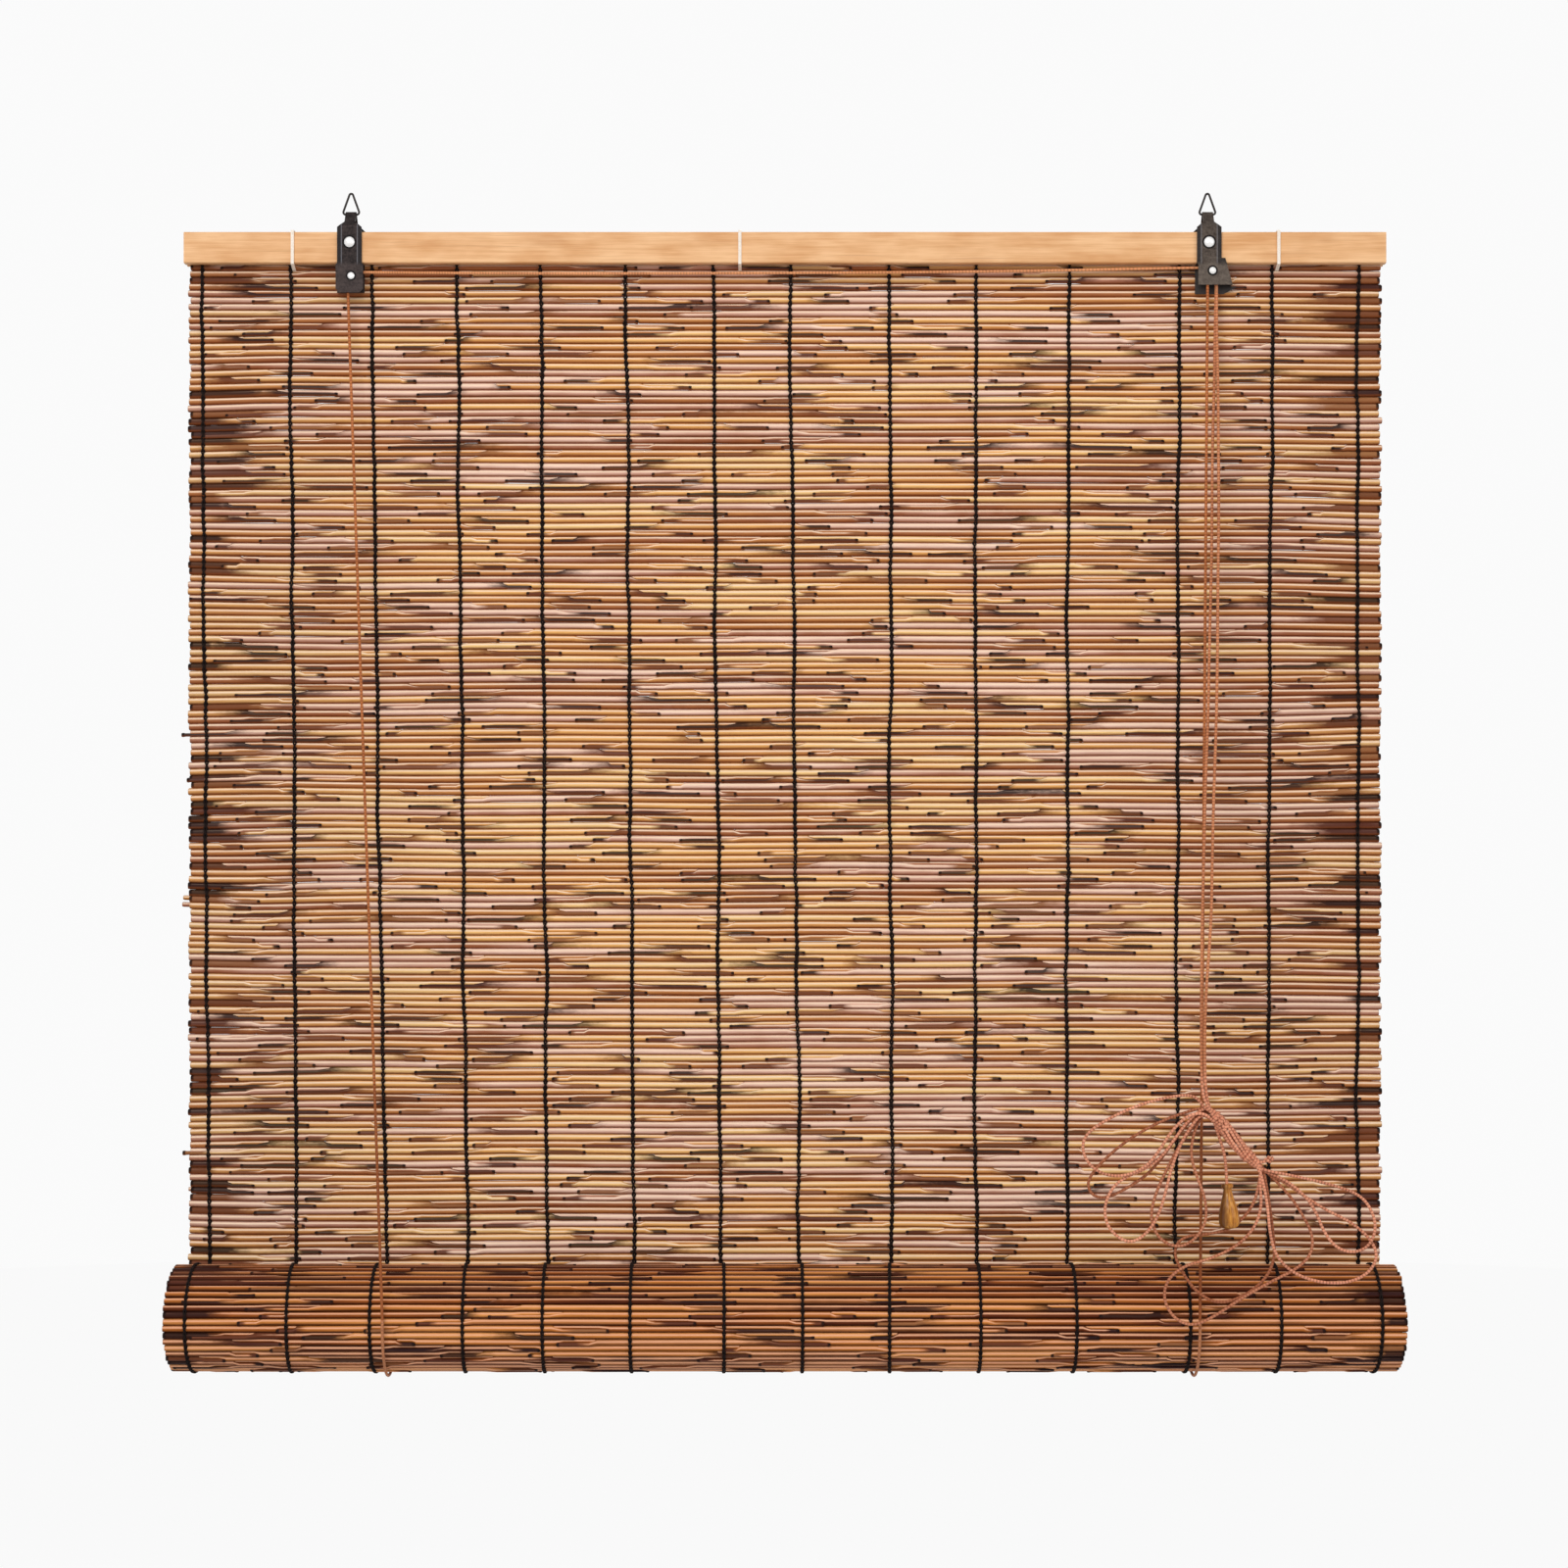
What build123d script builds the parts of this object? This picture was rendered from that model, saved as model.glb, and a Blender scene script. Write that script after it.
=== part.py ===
"""Outdoor roll-up blind of split reeds under a wooden head rail, with cord lift and cord lock.

Millimetres. X runs along the rail, Y goes back through the blind, Z is up. The origin is where the
blind hangs: level with the hooks in its two rings, on the middle of the rail's length, in the plane
of the reed mat. The lower part of the mat is rolled up in front of it, in two slings of cord.
"""

import os
from math import acos, atan2, cos, degrees, hypot, pi, radians, sin, sqrt, tan

from build123d import *

os.makedirs("parts", exist_ok=True)

# Head rail
rail_length = 1000.0
rail_height = 26.0
rail_drop = 32.5
front_slat_thickness = 10.0
back_slat_thickness = 6.0
slat_edge_radius = 1.5
slat_clearance = 0.3

# Reed mat
mat_width = 996.0
reed_depth = 5.0
reed_pitch = 5.55
reed_groove = 0.95
groove_depth = 1.1
reed_face = 2.6
rows_in_rail = 4
gap_count = 104
gap_length = 30.0

# Roll
roll_drop = 929.0
roll_radius = 46.5
turn_pitch = 5.3
roll_turns = 6
roll_end_groove = 0.9
roll_end_groove_depth = 9.0
end_of_mat_gap = 0.3
batten_thickness = 10.0
batten_clearance = 0.3

# Warp threads, from the left: where each hangs at the top of the mat, and at its foot
thread_tops = (-487, -413.5, -345, -274, -204, -132, -60, 4, 87, 159, 237, 329, 406.5, 478)
thread_feet = (-480, -407, -333, -264.5, -198, -126.5, -53, 13, 89.5, 159, 234.6, 326, 403, 478)
thread_width = 2.2
thread_thickness = 1.0
thread_clearance = 0.1
thread_cover = radians(300)

# Ties of light cord round the rail and the first reed
tie_places = (-409.5, -37.5, 410.5)
tie_width = 2.6
tie_thickness = 1.0

# Rings
left_hanger_x = -362.0
right_hanger_x = 352.6
ring_wire = 1.8
ring_half_base = 7.4
ring_height = 20.5
ring_top_radius = 1.6
ring_corner_radius = 2.0

# Hanger straps of folded strip
strap_thickness = 1.0
strap_width = 20.4
neck_width = 9.0
neck_length = 9.5
shoulder_length = 5.0
eye_clearance = 0.3
eye_half_angle = radians(40)
leg_below_rail = 24.6
leg_foot_width = 22.8
leg_foot_chamfer = 3.0
back_leg_length = 20.0
back_tab_length = 9.0
tab_hole_radius = 1.7

# Right-hand strap, which widens into the side of the cord lock
lock_top_width = 9.4
lock_left = 9.1
lock_right_top = 13.3
lock_right_foot = 19.4
lock_top_drop = 22.0
lock_foot_drop = 44.2
lock_wall = 0.9

# Back plates of the pulley housings
cheek_thickness = 0.9
cheek_tab_height = 22.0
cheek_tab_width = 18.0
housing_depth = 8.8
left_cheek_foot = 23.6
lock_wedge_drop = 50.6
lock_wedge_right = 23.4
lock_wedge_left = 10.7

# Rivets
rail_rivet_radius = 2.0
rail_rivet_head_radius = 4.3
rail_rivet_head_height = 1.8
rail_rivet_drop = 41.2
axle_radius = 1.25
axle_head_radius = 2.8
axle_head_height = 1.4
rivet_hole_clearance = 0.15

# Pulleys
pulley_radius = 5.2
pulley_pitch_radius = 3.7
groove_width = 3.2
pulley_wall = 0.65
left_axle_x = -360.6
left_axle_drop = 69.3
right_axle_x = 355.4
right_axle_drop = 65.0
running_clearance = 0.15

# Cord lock roller
roller_radius = 2.2
roller_pin_radius = 1.0
roller_drop = 70.5
roller_travel = 4.0
roller_slot_lean = radians(15)
roller_clearance = 0.15

# Lift cords
cord_diameter = 2.4
sling_clearance = 0.3
left_sling_x = -325.0
right_sling_x = 335.0
left_back_cord_x = -356.0
right_back_cord_x = 344.0
cord_joint_gap = 0.3
cord_groove_clearance = 0.2
cross_cord_route = ((-190.0, -9.0, -67.0), (150.0, -8.2, -65.6))
lock_exit_drop = 83.0
stopper_knot_radius = 3.2

# Pull cords, from the foot of the lock to the main knot: points chosen by hand
left_pull_route = (
    (357.6, -12.0, -112.0),
    (356.4, -18.5, -158.0),
    (353.6, -26.0, -212.0),
    (352.4, -33.5, -268.0),
    (350.8, -40.5, -324.0),
    (348.2, -48.0, -380.0),
    (346.4, -55.5, -436.0),
    (343.4, -63.0, -492.0),
    (341.6, -71.0, -548.0),
    (340.9, -79.5, -604.0),
    (341.2, -88.0, -658.0),
    (342.2, -94.5, -704.0),
)
right_pull_route = (
    (358.4, -16.0, -112.0),
    (358.8, -22.5, -158.0),
    (358.0, -30.5, -212.0),
    (357.4, -38.0, -268.0),
    (355.6, -45.5, -324.0),
    (355.0, -53.0, -380.0),
    (353.2, -60.5, -436.0),
    (352.6, -68.5, -492.0),
    (350.4, -76.5, -548.0),
    (349.4, -85.0, -604.0),
    (347.2, -93.0, -658.0),
    (345.8, -98.5, -704.0),
)

# The hank of spare cord that hangs at the main knot, in (x, z) from hand-picked corners
hank_back = -94.6
hank_depth = 12.0
hank_edge_radius = 3.0
main_knot_x = 343.6
main_knot_z = -747.0
main_knot_width = 13.0
main_knot_height = 24.0
main_knot_depth = 12.0
main_knot_corner = 3.0
left_loops_outline = (
    (337.8, -747.5),
    (290.0, -750.0),
    (262.0, -763.0),
    (240.0, -782.0),
    (240.0, -800.0),
    (252.0, -818.0),
    (258.0, -846.0),
    (271.0, -860.0),
    (292.0, -861.0),
    (312.0, -864.0),
    (332.0, -860.0),
    (344.0, -846.0),
    (338.0, -820.0),
    (330.0, -800.0),
    (332.0, -776.0),
    (337.8, -766.0),
)
right_loops_outline = (
    (377.9, -806.5),
    (381.4, -789.0),
    (394.0, -791.0),
    (436.0, -806.0),
    (470.0, -826.0),
    (474.0, -852.0),
    (474.0, -876.0),
    (458.0, -890.0),
    (424.0, -893.0),
    (390.0, -890.0),
    (348.0, -922.0),
    (322.0, -928.0),
    (307.0, -912.0),
    (310.0, -884.0),
    (340.0, -872.0),
    (372.0, -858.0),
    (380.0, -830.0),
)
side_binding_outline = (
    (351.9, -757.0),
    (352.5, -772.0),
    (366.0, -800.0),
    (378.3, -803.0),
    (381.3, -788.0),
    (360.0, -762.0),
)

# Wooden pull and its cord
bead_x = 358.2
bead_top_z = -813.0
bead_length = 36.0
bead_radius = 7.4
bead_neck_radius = 3.6
bead_collar_radius = 4.6
bead_cord_lean = 9.0
bead_cord_fall = 41.4

# Places worked out from the sizes above
rail_top = -rail_drop
rail_foot = rail_top - rail_height
mat_face = reed_depth / 2
front_slat_back = -(mat_face + slat_clearance)
front_slat_front = front_slat_back - front_slat_thickness
back_slat_front = mat_face + slat_clearance
back_slat_back = back_slat_front + back_slat_thickness
roll_y = -(roll_radius - mat_face)
roll_z = -roll_drop
core_radius = roll_radius - roll_turns * turn_pitch
batten_width = 2 * sqrt((core_radius - batten_clearance) ** 2 - (batten_thickness / 2) ** 2)
mat_foot = roll_z + end_of_mat_gap
mat_rows = rows_in_rail + round((rail_foot - mat_foot) / reed_pitch)
mat_top = mat_foot + mat_rows * reed_pitch
front_thread_foot = roll_z + sqrt(turn_pitch * roll_radius) + thread_thickness
roll_reeds = round(2 * pi * (roll_radius - turn_pitch / 2) / reed_pitch)
reed_turn = 2 * pi / roll_reeds
groove_turn = reed_turn * reed_groove / reed_pitch
face_turn = reed_turn * reed_face / reed_pitch
cord_radius = cord_diameter / 2
sling_radius = roll_radius + sling_clearance + cord_radius

tab_front = front_slat_front - cheek_thickness
front_leg_y = tab_front - strap_thickness / 2
front_leg_face = tab_front - strap_thickness
back_leg_y = back_slat_back + strap_thickness / 2
back_leg_face = back_slat_back + strap_thickness
cheek_face = tab_front + housing_depth
cheek_back = cheek_face + cheek_thickness

ring_y = (front_leg_y + back_leg_y) / 2
ring_lean = atan2(ring_half_base, ring_height)
ring_peak = ring_wire / 2 + ring_top_radius * (1 / sin(ring_lean) - 1)
ring_bar_z = ring_peak - ring_height

eye_radius = ring_wire / 2 + eye_clearance + strap_thickness / 2
eye_peak = ring_bar_z + eye_radius / sin(eye_half_angle)
eye_top = ring_bar_z + eye_radius + strap_thickness / 2
leg_top = eye_peak - (back_leg_y - ring_y) / tan(eye_half_angle)
shoulder_top = eye_top - neck_length
left_leg_foot = rail_foot - leg_below_rail
left_leg_outline = (
    (neck_width / 2, shoulder_top),
    (strap_width / 2, shoulder_top - shoulder_length),
    (strap_width / 2, rail_foot),
    (leg_foot_width / 2, rail_foot - strap_thickness),
    (leg_foot_width / 2, left_leg_foot + leg_foot_chamfer),
    (leg_foot_width / 2 - leg_foot_chamfer, left_leg_foot),
    (leg_foot_chamfer - leg_foot_width / 2, left_leg_foot),
    (-leg_foot_width / 2, left_leg_foot + leg_foot_chamfer),
    (-leg_foot_width / 2, rail_foot - strap_thickness),
    (-strap_width / 2, rail_foot),
    (-strap_width / 2, shoulder_top - shoulder_length),
    (-neck_width / 2, shoulder_top),
)
strap_through = 2 * (back_leg_y - front_leg_y) + 2 * back_tab_length
back_leg_foot = rail_top - back_leg_length
tab_hole_y = back_leg_face + back_tab_length / 2
back_cord_top = back_leg_foot + strap_thickness / 2

lock_top_z = rail_top - lock_top_drop
lock_foot_z = rail_top - lock_foot_drop
lock_wedge_foot = rail_top - lock_wedge_drop
lock_side_top = rail_foot - slat_clearance
lock_slant = (lock_right_foot - lock_right_top) / (lock_top_z - lock_foot_z)
lock_side_top_x = right_hanger_x + lock_right_top + lock_slant * (lock_top_z - lock_side_top)
lock_exit_z = -lock_exit_drop
rail_rivet_dome = (rail_rivet_head_radius**2 + rail_rivet_head_height**2) / (2 * rail_rivet_head_height)

left_axle_z = -left_axle_drop
right_axle_z = -right_axle_drop
pulley_y = tab_front + housing_depth / 2
right_front_groove_y = pulley_y - (groove_width + pulley_wall) / 2
right_back_groove_y = pulley_y + (groove_width + pulley_wall) / 2
roller_x = right_axle_x + pulley_pitch_radius + cord_radius + roller_clearance + roller_radius
roller_z = -roller_drop
cross_cord_bend = 0.98 * pulley_pitch_radius
cross_cord_points = (
    (left_axle_x - pulley_pitch_radius, pulley_y, left_axle_z),
    (left_axle_x - pulley_pitch_radius, pulley_y, left_axle_z + pulley_pitch_radius),
    *cross_cord_route,
    (right_axle_x + pulley_pitch_radius, right_back_groove_y, right_axle_z + pulley_pitch_radius),
    (right_axle_x + pulley_pitch_radius, right_back_groove_y, lock_exit_z),
)

knot_y = hank_back - main_knot_depth / 2
bead_cord_top_x = bead_x - bead_cord_lean
bead_cord_top_z = bead_top_z + bead_cord_fall



def roll_point(turn_angle, depth=0.0):
    """A point of the roll's spiral, as (y, z): the angle runs from the back, under the roll, to its front."""
    radius = roll_radius - turn_pitch * turn_angle / (2 * pi) - depth
    return (roll_y + radius * cos(turn_angle), roll_z - radius * sin(turn_angle))


def spiral(start, end, depth, pieces):
    """Arcs along the roll's spiral, in the order of the angles given."""
    step = (end - start) / pieces
    for piece in range(pieces):
        first = start + piece * step
        ThreePointArc(
            roll_point(first, depth), roll_point(first + step / 2, depth), roll_point(first + step, depth)
        )


def tangent_to_sling(top, side):
    """Where a cord from top, given as (y, z), meets the sling: side is -1 at the front and 1 at the back."""
    across = top[0] - roll_y
    up = top[1] - roll_z
    angle = atan2(across, up) + side * acos(sling_radius / hypot(across, up))
    return (roll_y + sling_radius * sin(angle), roll_z + sling_radius * cos(angle))


def route_radii(points):
    """The bend radius at each inner point of a cord's route: 0.45 of the shorter run, by half the turn."""
    radii = []
    for before, here, after in zip(points, points[1:], points[2:]):
        run_in = Vector(*here) - Vector(*before)
        run_out = Vector(*after) - Vector(*here)
        half_turn = radians(run_in.get_angle(run_out)) / 2
        radii.append(0.45 * min(run_in.length, run_out.length) / tan(half_turn))
    return radii


# Front slat of the head rail
with BuildPart() as head_rail_front:
    with BuildSketch(Plane.YZ):
        with Locations(((front_slat_front + front_slat_back) / 2, (rail_top + rail_foot) / 2)):
            Rectangle(front_slat_thickness, rail_height)
        fillet(vertices().group_by(Axis.X)[0], slat_edge_radius)
    extrude(amount=rail_length / 2, both=True)
    with Locations(
        Plane.XZ.offset(-front_slat_back) * Location((left_hanger_x, -rail_rivet_drop)),
        Plane.XZ.offset(-front_slat_back) * Location((right_hanger_x, -rail_rivet_drop)),
    ):
        Hole(rail_rivet_radius + rivet_hole_clearance)

# Back slat, which clamps the top rows of reeds against the front one
with BuildPart() as head_rail_back:
    with BuildSketch(Plane.YZ):
        with Locations(((back_slat_front + back_slat_back) / 2, (rail_top + rail_foot) / 2)):
            Rectangle(back_slat_thickness, rail_height)
        fillet(vertices().group_by(Axis.X)[-1], slat_edge_radius)
    extrude(amount=rail_length / 2, both=True)
    with Locations(
        Plane.XZ.offset(-back_slat_front) * Location((left_hanger_x, -rail_rivet_drop)),
        Plane.XZ.offset(-back_slat_front) * Location((right_hanger_x, -rail_rivet_drop)),
    ):
        Hole(rail_rivet_radius + rivet_hole_clearance)


# Mat of reeds: each row has three flats a side, with a groove to the next
def reed_side(side):
    """The corners of the mat's front or back face, from its top row down."""
    corners = []
    slope = (reed_pitch - reed_groove - reed_face) / 2
    for row in range(mat_rows):
        top = mat_top - row * reed_pitch - reed_groove / 2
        foot = top - reed_pitch + reed_groove
        groove = side * (mat_face - groove_depth)
        crest = side * mat_face
        corners += [(groove, top), (crest, top - slope), (crest, foot + slope), (groove, foot)]
    return corners


with BuildPart() as reed_mat:
    with BuildSketch(Plane.YZ):
        with BuildLine():
            Polyline(*reed_side(-1), *reversed(reed_side(1)), close=True)
        make_face()
    extrude(amount=mat_width / 2, both=True)
    # gaps where a reed is thin or bent, each in one groove between two warp threads
    with BuildSketch(Plane.XZ):
        for gap in range(gap_count):
            bay = int(gap * 0.7549 % 1 * (len(thread_tops) - 1))
            row = rows_in_rail + 4 + int(gap * 0.5698 % 1 * (mat_rows - rows_in_rail - 14))
            middle = (thread_tops[bay] + thread_tops[bay + 1]) / 2 + gap * 7 % 5 - 2
            with Locations((middle, mat_top - row * reed_pitch)):
                Rectangle(gap_length + gap * 13 % 4 * 5, reed_groove)
    extrude(amount=reed_depth, both=True, mode=Mode.SUBTRACT)
    # slots for the ties, under the first reed below the rail
    with BuildSketch(Plane.XZ):
        for place in tie_places:
            with Locations((place, mat_top - (rows_in_rail + 1) * reed_pitch)):
                Rectangle(tie_width + 2 * slat_clearance, tie_thickness + 2 * slat_clearance)
    extrude(amount=reed_depth, both=True, mode=Mode.SUBTRACT)
    # holes for the rail rivets
    with Locations(
        Plane.XZ * Location((left_hanger_x, -rail_rivet_drop)),
        Plane.XZ * Location((right_hanger_x, -rail_rivet_drop)),
    ):
        Hole(rail_rivet_radius + rivet_hole_clearance)

# Warp threads on both faces of the mat. The front ones end where the mat goes behind the roll.
with BuildPart() as mat_threads:
    for side, thread_foot in ((-1, front_thread_foot), (1, mat_foot)):
        inner_face = mat_face + thread_clearance
        with BuildSketch(Plane.XZ.offset(-side * inner_face)):
            for top_x, foot_x in zip(thread_tops, thread_feet):
                with BuildLine():
                    Polyline(
                        (top_x - thread_width / 2, rail_foot),
                        (top_x + thread_width / 2, rail_foot),
                        (foot_x + thread_width / 2, thread_foot),
                        (foot_x - thread_width / 2, thread_foot),
                        close=True,
                    )
                make_face()
        extrude(amount=-side * thread_thickness)

# Roll of spare mat: one sheet wound in turns, seen as a spiral on its ends
with BuildPart() as reed_roll:
    with BuildSketch(Plane.YZ):
        outline = []
        for reed in range(roll_reeds):
            middle = (reed + 0.5) * reed_turn
            outline += [
                roll_point(middle - (reed_turn - groove_turn) / 2, groove_depth),
                roll_point(middle - face_turn / 2),
                roll_point(middle + face_turn / 2),
                roll_point(middle + (reed_turn - groove_turn) / 2, groove_depth),
            ]
        with BuildLine():
            Polyline(*outline, close=True)
        make_face()
        with Locations((roll_y, roll_z)):
            Circle(core_radius, mode=Mode.SUBTRACT)
    extrude(amount=mat_width / 2, both=True)
    for end in (-1, 1):
        with BuildSketch(Plane.YZ.offset(end * (mat_width / 2 - roll_end_groove_depth))):
            with BuildLine():
                first = 2 * pi + reed_turn
                last = 2 * pi * roll_turns
                turns = 3 * (roll_turns - 1)
                spiral(first, last, -roll_end_groove / 2, turns)
                Line(roll_point(last, -roll_end_groove / 2), roll_point(last, roll_end_groove / 2))
                spiral(last, first, roll_end_groove / 2, turns)
                Line(roll_point(first, roll_end_groove / 2), roll_point(first, -roll_end_groove / 2))
            make_face()
        extrude(amount=end * roll_end_groove_depth, mode=Mode.SUBTRACT)

# Warp threads round the outside of the roll
thread_planes = [Plane.YZ.offset(foot_x - thread_width / 2) for foot_x in thread_feet]
with BuildPart() as roll_threads:
    with BuildSketch(*thread_planes):
        inner = -thread_clearance
        outer = -thread_clearance - thread_thickness
        start = reed_turn / 2
        with BuildLine():
            spiral(start, thread_cover, inner, 4)
            Line(roll_point(thread_cover, inner), roll_point(thread_cover, outer))
            spiral(thread_cover, start, outer, 4)
            Line(roll_point(start, outer), roll_point(start, inner))
        make_face()
    extrude(amount=thread_width)

# Batten in the middle of the roll, at the foot of the mat
with BuildPart() as bottom_batten:
    with BuildSketch(Plane.YZ):
        with Locations((roll_y, roll_z)):
            Rectangle(batten_thickness, batten_width)
    extrude(amount=rail_length / 2, both=True)


# Ties of light cord round the rail and the first reed
def tie_outline(outward):
    """Corners of a tie's path in the (y, z) plane, moved outward from the rail."""
    under_reed = mat_top - (rows_in_rail + 1) * reed_pitch - outward + tie_thickness / 2
    return (
        (front_slat_front - slat_clearance - outward, rail_top + slat_clearance + outward),
        (front_slat_front - slat_clearance - outward, rail_foot - outward),
        (-mat_face - outward, under_reed),
        (mat_face + outward, under_reed),
        (back_slat_back + slat_clearance + outward, rail_foot - outward),
        (back_slat_back + slat_clearance + outward, rail_top + slat_clearance + outward),
    )


def rail_tie(place):
    """A closed band between the outer and the inner path."""
    with BuildPart() as tie:
        with BuildSketch(Plane.YZ.offset(place - tie_width / 2)):
            with BuildLine():
                Polyline(*tie_outline(tie_thickness), close=True)
            make_face()
            with BuildLine():
                Polyline(*tie_outline(0.0), close=True)
            make_face(mode=Mode.SUBTRACT)
        extrude(amount=tie_width)
    return tie


left_tie = rail_tie(tie_places[0])
middle_tie = rail_tie(tie_places[1])
right_tie = rail_tie(tie_places[2])


# Wire rings that go over the hooks
def wire_ring(hanger_x):
    """A closed triangle of wire with rounded corners."""
    with BuildPart() as ring:
        with BuildLine(Plane.XZ.offset(-ring_y)) as wire:
            FilletPolyline(
                (hanger_x - ring_half_base, ring_bar_z),
                (hanger_x + ring_half_base, ring_bar_z),
                (hanger_x, ring_peak),
                radius=(ring_corner_radius, ring_corner_radius, ring_top_radius),
                close=True,
            )
        with BuildSketch(Plane(origin=wire.line @ 0, z_dir=wire.line % 0)):
            Circle(ring_wire / 2)
        sweep()
    return ring


left_ring = wire_ring(left_hanger_x)
right_ring = wire_ring(right_hanger_x)


# Hanger straps: strip folded over the ring's bar, down both faces of the rail
def fold_strip(hanger_x, front_foot, width):
    """Sweep the strip along its fold, with a tab bent back at its end behind the rail."""
    with BuildLine(Plane.YZ.offset(hanger_x)) as fold:
        FilletPolyline(
            (front_leg_y, front_foot),
            (front_leg_y, leg_top),
            (ring_y, eye_peak),
            (back_leg_y, leg_top),
            (back_leg_y, back_leg_foot),
            (back_leg_y + back_tab_length, back_leg_foot),
            radius=(2 * strap_thickness, eye_radius, 2 * strap_thickness, 1.5 * strap_thickness),
        )
    with BuildSketch(Plane(origin=fold.line @ 0, z_dir=fold.line % 0, x_dir=(1, 0, 0))) as strip:
        Rectangle(width, strap_thickness)
    sweep(strip.sketch, path=fold.line)


def pierce_strap(hanger_x, axle, cord_x):
    """Holes for the rail rivet, the pulley's axle in the front leg and the cord in the tab."""
    with BuildSketch(Plane.XZ) as rivet_hole:
        with Locations((hanger_x, -rail_rivet_drop)):
            Circle(rail_rivet_radius + rivet_hole_clearance)
    extrude(rivet_hole.sketch, amount=strap_through, both=True, mode=Mode.SUBTRACT)
    with BuildSketch(Plane.XZ.offset(-front_leg_y)) as axle_hole:
        with Locations(axle):
            Circle(axle_radius + rivet_hole_clearance)
    extrude(axle_hole.sketch, amount=strap_thickness, both=True, mode=Mode.SUBTRACT)
    with BuildSketch(Plane.XY.offset(back_leg_foot)) as cord_hole:
        with Locations((cord_x, tab_hole_y)):
            Circle(tab_hole_radius)
    extrude(cord_hole.sketch, amount=strap_thickness, both=True, mode=Mode.SUBTRACT)


with BuildPart() as left_hanger_strap:
    fold_strip(left_hanger_x, left_leg_foot, 2 * leg_foot_width)
    with BuildSketch(Plane.XZ):
        with Locations((left_hanger_x, (eye_top + rail_foot) / 2)):
            Rectangle(neck_width, eye_top - rail_foot)
        with BuildLine():
            Polyline(*[(left_hanger_x + x, z) for x, z in left_leg_outline], close=True)
        make_face()
    extrude(amount=strap_through, both=True, mode=Mode.INTERSECT)
    pierce_strap(left_hanger_x, (left_axle_x, left_axle_z), left_back_cord_x)

with BuildPart() as right_hanger_strap:
    fold_strip(right_hanger_x, lock_foot_z, 2 * lock_right_foot)
    with BuildSketch(Plane.XZ):
        with Locations((right_hanger_x, (eye_top + rail_foot) / 2)):
            Rectangle(neck_width, eye_top - rail_foot)
        with BuildLine():
            Polyline(
                (right_hanger_x - neck_width / 2, shoulder_top),
                (right_hanger_x - strap_width / 2, shoulder_top - shoulder_length),
                (right_hanger_x - strap_width / 2, rail_foot),
                (right_hanger_x - lock_left, rail_foot - strap_thickness),
                (right_hanger_x - lock_left, lock_foot_z),
                (right_hanger_x + lock_right_foot, lock_foot_z),
                (right_hanger_x + lock_right_top, lock_top_z),
                (right_hanger_x + strap_width / 2, lock_top_z),
                (right_hanger_x + strap_width / 2, shoulder_top - shoulder_length),
                (right_hanger_x + neck_width / 2, shoulder_top),
                close=True,
            )
        make_face()
    extrude(amount=strap_through, both=True, mode=Mode.INTERSECT)
    # folded side of the lock, along its slanted edge, below the rail
    with BuildSketch(Plane.XZ.offset(-tab_front)):
        with BuildLine():
            Polyline(
                (lock_side_top_x - lock_wall, lock_side_top),
                (lock_side_top_x, lock_side_top),
                (right_hanger_x + lock_right_foot, lock_foot_z),
                (right_hanger_x + lock_right_foot - lock_wall, lock_foot_z),
                close=True,
            )
        make_face()
    extrude(amount=-(housing_depth - running_clearance))
    pierce_strap(right_hanger_x, (right_axle_x, right_axle_z), right_back_cord_x)


# Back plates of the housings: a tab between strap and rail, a web under the rail, and the plate
def fold_cheek(hanger_x, foot):
    """Extrude the plate's fold, as wide as the housing, before its outline is cut."""
    with BuildSketch(Plane.YZ.offset(hanger_x)) as fold:
        with BuildLine():
            Polyline(
                (tab_front, rail_foot + cheek_tab_height),
                (tab_front, rail_foot - cheek_thickness),
                (cheek_face, rail_foot - cheek_thickness),
                (cheek_face, foot),
                (cheek_back, foot),
                (cheek_back, rail_foot),
                (front_slat_front, rail_foot),
                (front_slat_front, rail_foot + cheek_tab_height),
                close=True,
            )
        make_face()
    extrude(fold.sketch, amount=lock_wedge_right, both=True)


with BuildPart() as left_pulley_cheek:
    fold_cheek(left_hanger_x, rail_foot - left_cheek_foot)
    with BuildSketch(Plane.XZ):
        with BuildLine():
            Polyline(
                (left_hanger_x - cheek_tab_width / 2, rail_foot + cheek_tab_height),
                (left_hanger_x - cheek_tab_width / 2, rail_foot),
                (left_hanger_x - leg_foot_width / 2, rail_foot - cheek_thickness),
                (left_hanger_x - leg_foot_width / 2, rail_foot - left_cheek_foot),
                (left_hanger_x + leg_foot_width / 2, rail_foot - left_cheek_foot),
                (left_hanger_x + leg_foot_width / 2, rail_foot - cheek_thickness),
                (left_hanger_x + cheek_tab_width / 2, rail_foot),
                (left_hanger_x + cheek_tab_width / 2, rail_foot + cheek_tab_height),
                close=True,
            )
        make_face()
    extrude(amount=strap_through, both=True, mode=Mode.INTERSECT)
    with BuildSketch(Plane.XZ):
        with Locations((left_hanger_x, -rail_rivet_drop)):
            Circle(rail_rivet_radius + rivet_hole_clearance)
        with Locations((left_axle_x, left_axle_z)):
            Circle(axle_radius + rivet_hole_clearance)
    extrude(amount=strap_through, both=True, mode=Mode.SUBTRACT)

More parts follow.
